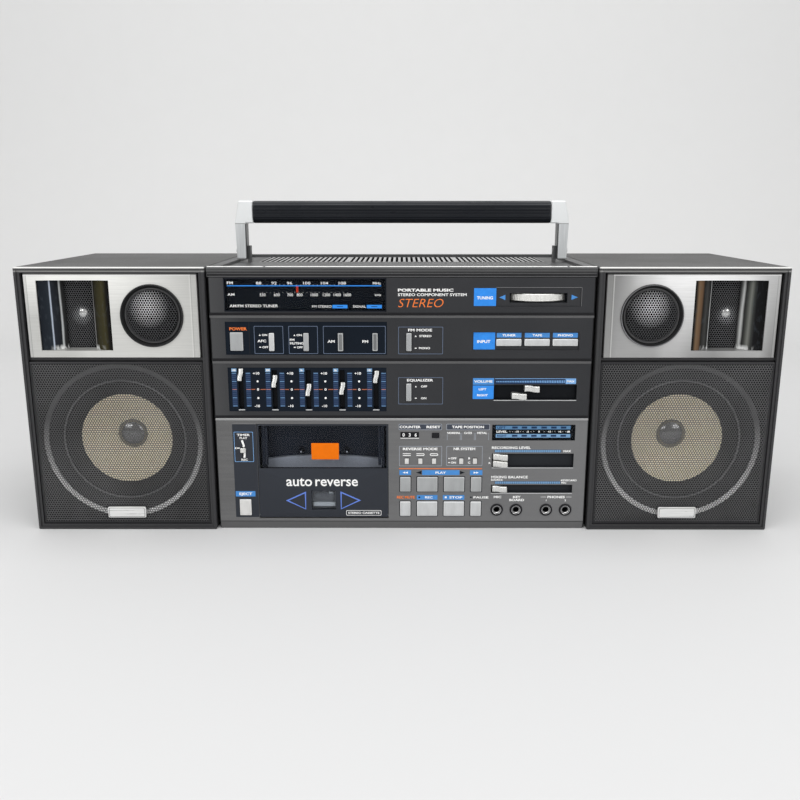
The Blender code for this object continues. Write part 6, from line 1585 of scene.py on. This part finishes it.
# Ribs run round the section by arc length: inset = depth (1 - |cos|), fading at the two ends
even = np.linspace(0, step.sum(), 241)[:-1]
lengths = np.concatenate([[0], np.cumsum(step)])
closed = np.concatenate([ring, ring[:1]])
section = np.stack([np.interp(even, lengths, closed[:, 0]), np.interp(even, lengths, closed[:, 1])], -1)
normal = np.roll(section, 1, 0) - np.roll(section, -1, 0)
normal = np.stack([-normal[:, 1], normal[:, 0]], -1)
normal /= np.linalg.norm(normal, axis=1, keepdims=True)
wave = grip["ribDepth"] * (1 - np.abs(np.cos(math.pi * grip["ribs"] * even / step.sum())))
shoulder = np.array([0, 0, 0.6, 1.6]) * mm
x = np.concatenate([low.x + shoulder, np.linspace(low.x + 2.2 * mm, high.x - 2.2 * mm, 5), high.x - shoulder[::-1]])
fade = np.array([0, 0, 0, 0.4, 1, 1, 1, 1, 1, 0.4, 0, 0, 0])
pull = np.array([3.5, 0.35, 0.1, 0.02, 0, 0, 0, 0, 0, 0.02, 0.1, 0.35, 3.5]) * mm
flat = section[None] + normal[None] * -(wave[None, :, None] * fade[:, None, None] + pull[:, None, None]) * np.sign(
    (normal * section).sum(1))[None, :, None]
grid = np.stack([np.repeat(x[:, None], len(section), 1), gy + flat[:, :, 0], gz + flat[:, :, 1]], -1)
firstEnd, lastEnd = grid[:1].mean(1, keepdims=True), grid[-1:].mean(1, keepdims=True)
grid = np.concatenate([np.repeat(firstEnd, len(section), 1), grid, np.repeat(lastEnd, len(section), 1)])
gripPiece = meshPiece("ribbed_grip", grid.reshape(-1, 3), gridFaces(len(x) + 2, len(section), False, True), gripBlack,
                      "handle", weld=True, crisp=50)
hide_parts("handle_grip")
screws = [latheShape([(0, side * 0.6), (1.2, side * 0.6), (2.4, side * 0.3), (2.8, 0)],
                     (side * 160.85 * mm, 0, 250.1 * mm), 28, "side") for side in (-1, 1)]
meshPiece("pivot_screws", *gather(screws), ringChrome, "handle")
print("handle made")


# Rear of the centre unit: guessed from what such sets carry there
rear = {"y": 88.0,
        "screws": ((-161, 14), (161, 14), (-161, 118), (161, 118), (-161, 214), (161, 214), (0, 214), (0, 96)),
        "vents": ((-42, 42, 176), (-42, 42, 118)), "ventRows": 7, "ventPitch": 5.0,
        "jackPlate": (-150, -78, 118, 182), "clipPlate": (78, 150, 150, 182),
        "jacksX": (-92, -110), "socket": (-136, 151), "pinRing": 3.6, "inletX": 122.4}
rearFace = rear["y"] * mm


# A flat face that looks back, proud millimetres behind the rear face
def rearSheet(x0, x1, z0, z1, proud):
    points, faces = sheetShape(x0 * mm, x1 * mm, z0 * mm, z1 * mm, rearFace + proud * mm)
    return points, np.asarray(faces)[:, ::-1]


def rearPlate(x0, x1, z0, z1, proud, soft=0.4, base=rearFace):
    # A bar that stands out from the rear face, its outer edges chamfered
    levels = [(0, base - 0.2 * mm), (0, base + (proud - soft) * mm), (soft * mm, base + proud * mm)]
    return capShape((x0 + x1) / 2 * mm, (z0 + z1) / 2 * mm, (x1 - x0) * mm, (z1 - z0) * mm, levels, soft * mm, 1)


def rearTurned(profile, x, z, steps=36):
    # Profile of (radius, height behind the rear face) turned round an axis along Y
    return latheShape([(r, -h) for r, h in profile], (x * mm, rearFace, z * mm), steps)


# Vent slots as near-black sheets, painted shade in place of openings, under raised hoods
slots, hoods = [], []
for x0, x1, z0 in rear["vents"]:
    for n in range(rear["ventRows"]):
        z = z0 + n * rear["ventPitch"]
        slots.append(rearSheet(x0, x1, z, z + 2.2, 0.06))
        hoods.append(rearPlate(x0 - 0.6, x1 + 0.6, z + 2.2, z + 3.1, 0.7, 0.3))
flatPiece("rear_vent_slots", slots, voidBlack, toward=(0, 1, 0))
weldedPiece("rear_vent_hoods", hoods, shellPlastic)
weldedPiece("rear_plates", [rearPlate(*rear[key], 0.8) for key in ("jackPlate", "clipPlate")], blackPlastic)
nuts, bores, rings = [], [], {162: [], 140: []}
collar = [(5.2, 0.8), (5.2, 2.6), (4.7, 3.0), (3.9, 3.0), (3.6, 2.6), (3.6, 0.8)]
for x in rear["jacksX"]:
    for z in rings:
        rings[z].append(rearTurned(collar, x, z))
        nuts.append(rearTurned([(3.6, 0.8), (3.6, 6.6), (3.3, 7.0), (2.3, 7.0), (2.1, 6.6), (2.1, 2.0)], x, z))
        bores.append(rearTurned([(2.1, 2.0), (0, 2.0)], x, z))
nuts.append(rearTurned([(7.6, 0.8), (7.6, 2.0), (7.2, 2.4), (6.4, 2.4), (6.2, 2.0), (6.2, 1.0)], *rear["socket"]))
bores.append(rearTurned([(6.2, 1.0), (0, 1.0)], *rear["socket"]))
socketX, socketZ = rear["socket"]
pins = [rearTurned([(0.9, 1.0), (0.9, 2.2), (0, 2.3)], socketX + rear["pinRing"] * math.cos(a),
                   socketZ + rear["pinRing"] * math.sin(a), 12) for a in np.radians((90, 18, 162, -54, -126))]
weldedPiece("line_jack_sleeves", nuts, ringChrome)
# Near-black discs in the sleeves and the socket: painted shade in the bores
flatPiece("line_jack_bores", bores, voidBlack, toward=(0, 1, 0))
weldedPiece("socket_pins", pins, ringChrome)
jackWhite = mouldedFinish("jackWhite", (0.72, 0.71, 0.68), 0.4, 0.04, 1300, 0.01 * mm, shine=0.3)
jackRed = mouldedFinish("jackRed", (0.50, 0.025, 0.020), 0.4, 0.08, 1300, 0.01 * mm, shine=0.3)
meshPiece("left_channel_rings", *gather(rings[162]), jackWhite, weld=True)
meshPiece("right_channel_rings", *gather(rings[140]), jackRed, weld=True)
levers = [rearPlate(x - 4, x + 4, 154, 168, 5.0, 1.0) for x in (90, 104, 124, 138)]
weldedPiece("terminal_levers_black", levers[::2], frameBlack)
weldedPiece("terminal_levers_red", levers[1::2], jackRed)
heads = [rearTurned([(3.4, -0.05), (3.4, 0.35), (2.9, 0.95), (1.6, 1.25), (0.9, 1.25), (0.7, 0.5), (0, 0.5)], x, z)
         for x, z in rear["screws"]]
weldedPiece("rear_screws", heads, ringChrome)
inletPins = [rearPlate(rear["inletX"] + d - 1.1, rear["inletX"] + d + 1.1, 37.4, 39.8, 6.0, 0.4, 80.4 * mm)
             for d in (-3.6, 3.6)]
weldedPiece("inlet_pins", inletPins, ringChrome)
# Antenna rest: a block under the rod's tip and a plate behind its swivel
clip = [rearPlate(-46.5, -39.5, 219.0, 221.3, 12.0, 0.5), rearPlate(150.5, 156.5, 219.6, 231.0, 3.0, 0.6)]
weldedPiece("antenna_rest", clip, blackPlastic)
# Battery cover's grip ribs and its word
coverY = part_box("battery_cover")[1].y
ribs = [rearPlate(-26, 26, z, z + 0.9, 0.6, 0.25, coverY) for z in np.arange(62.0, 76.0, 2.4)]
weldedPiece("battery_cover_ribs", ribs, charcoal, "battery_cover")
words("OPEN", 0, 52.0, 3.2, coverY, "battery_cover", wide=1.3, rear=True)
for text, x, z, size in (("LINE OUT", -92, 152.2, 2.0), ("PHONO IN", -110, 152.2, 2.0),
                         ("KEYBOARD", -136, 164.0, 2.0),
                         ("L", -101, 162.0, 2.4), ("R", -101, 140.0, 2.4), ("AC IN", 122.4, 50.0, 2.6),
                         ("LEFT", 97, 174.5, 2.2), ("RIGHT", 131, 174.5, 2.2), ("SPEAKERS", 114, 179.0, 2.0)):
    on = 0.8 * mm if text != "AC IN" else 0.0
    words(text, x, z, size, rearFace + on, wide=1.2, rear=True)
print("rear made")


# CAD parts that keep their shape get their finishes
dress(charcoal, "upper_fascia", "battery_cover")
dress(deckPaint, "deck_fascia")
dress(coverGrey, "top_cover")
dress(shellPlastic, "cabinet_shell")
dress(mechanism, "deck_chassis")
dress(blackPlastic, "battery_box")
dress(boardGreen, "main_board")
dress(handlePaint, "handle_frame")
dress(vinyl, "left_cabinet", "right_cabinet")
dress(plateMetal, "left_horn_panel", "right_horn_panel")
dress(ringChrome, "antenna_tube", "antenna_rod")


# Print gathered on the way becomes one piece for each ink and carrier
for (ink, body), shapes in prints.items():
    meshPiece(f"print_{ink.name}_{body}", *gather(shapes), ink, body, smooth=False)
print("print sheets:", len(prints))


# Stage: a pale floor that runs up into the backdrop, soft lamps, pale world
stage = {"floor": (0.700, 0.702, 0.706), "wall": (0.800, 0.802, 0.802), "reach": 3.2, "bend": 0.6,
         "front": -2.6, "back": 1.5, "height": 2.6, "world": 0.54}


def stageFinish():
    f = Finish("studioPaper")
    paper = f.noise(24, 4)
    rise = f.remap(f.axis("Y"), 0.2, 1.3)
    base = f.blend(rise, stage["floor"], stage["wall"])
    base = f.blend(f.remap(paper) * 0.03, base, (0.60, 0.60, 0.59))
    return f.surface(base, roughness=f.remap(paper, 0.2, 0.8, 0.62, 0.72))


# Profile along Y: level floor, a quarter circle, then straight up, swept along X
t = np.linspace(0, math.pi / 2, 17)
wallY, bend = stage["back"], stage["bend"]
pathY = np.concatenate([[stage["front"]], wallY - bend + bend * np.sin(t), [wallY]])
pathZ = np.concatenate([[0], bend - bend * np.cos(t), [stage["height"]]])
xs = np.linspace(-stage["reach"], stage["reach"], 5)
grid = np.stack([xs[None] + 0 * pathY[:, None], pathY[:, None] + 0 * xs[None], pathZ[:, None] + 0 * xs[None]], -1)
mesh = bpy.data.meshes.new("studio_sweep")
mesh.from_pydata(grid.reshape(-1, 3), [], gridFaces(len(pathY), 5).tolist())
mesh.shade_smooth()
mesh.materials.append(stageFinish())
sweepObject = bpy.data.objects.new("studio_sweep", mesh)
bpy.context.scene.collection.objects.link(sweepObject)


# A soft box, turned to its aim by the angles of the way there
def lamp(name, place, aim, width, height, power):
    data = bpy.data.lights.new(name, "AREA")
    data.shape = "RECTANGLE"
    data.size, data.size_y = width, height
    data.energy = power
    lampObject = bpy.data.objects.new(name, data)
    way = np.array(aim, float) - np.array(place, float)
    lampObject.location = place
    turn = math.atan2(way[0], -way[1])
    lampObject.rotation_euler = (math.atan2(math.hypot(way[0], way[1]), -way[2]), 0, turn + math.pi)
    bpy.context.scene.collection.objects.link(lampObject)
    return lampObject


lamps = {
    "overhead": ((0.0, -0.30, 1.60), (0, -0.05, 0.1), 2.0, 1.4, 16.0),
    "frontLeft": ((-1.4, -1.9, 1.25), (0, -0.15, 0.05), 1.5, 1.1, 17.0),
    "frontRight": ((1.5, -1.8, 1.15), (0, -0.15, 0.05), 1.5, 1.1, 15.0),
}
for name, (place, aim, width, height, power) in lamps.items():
    lamp(name, place, aim, width, height, power)

world = bpy.data.worlds.new("paleRoom")
bpy.context.scene.world = world
world.use_nodes = True
glow = world.node_tree.nodes["Background"]
glow.inputs["Color"].default_value = (1.0, 0.995, 0.985, 1.0)
glow.inputs["Strength"].default_value = stage["world"]
print("stage and lamps set")
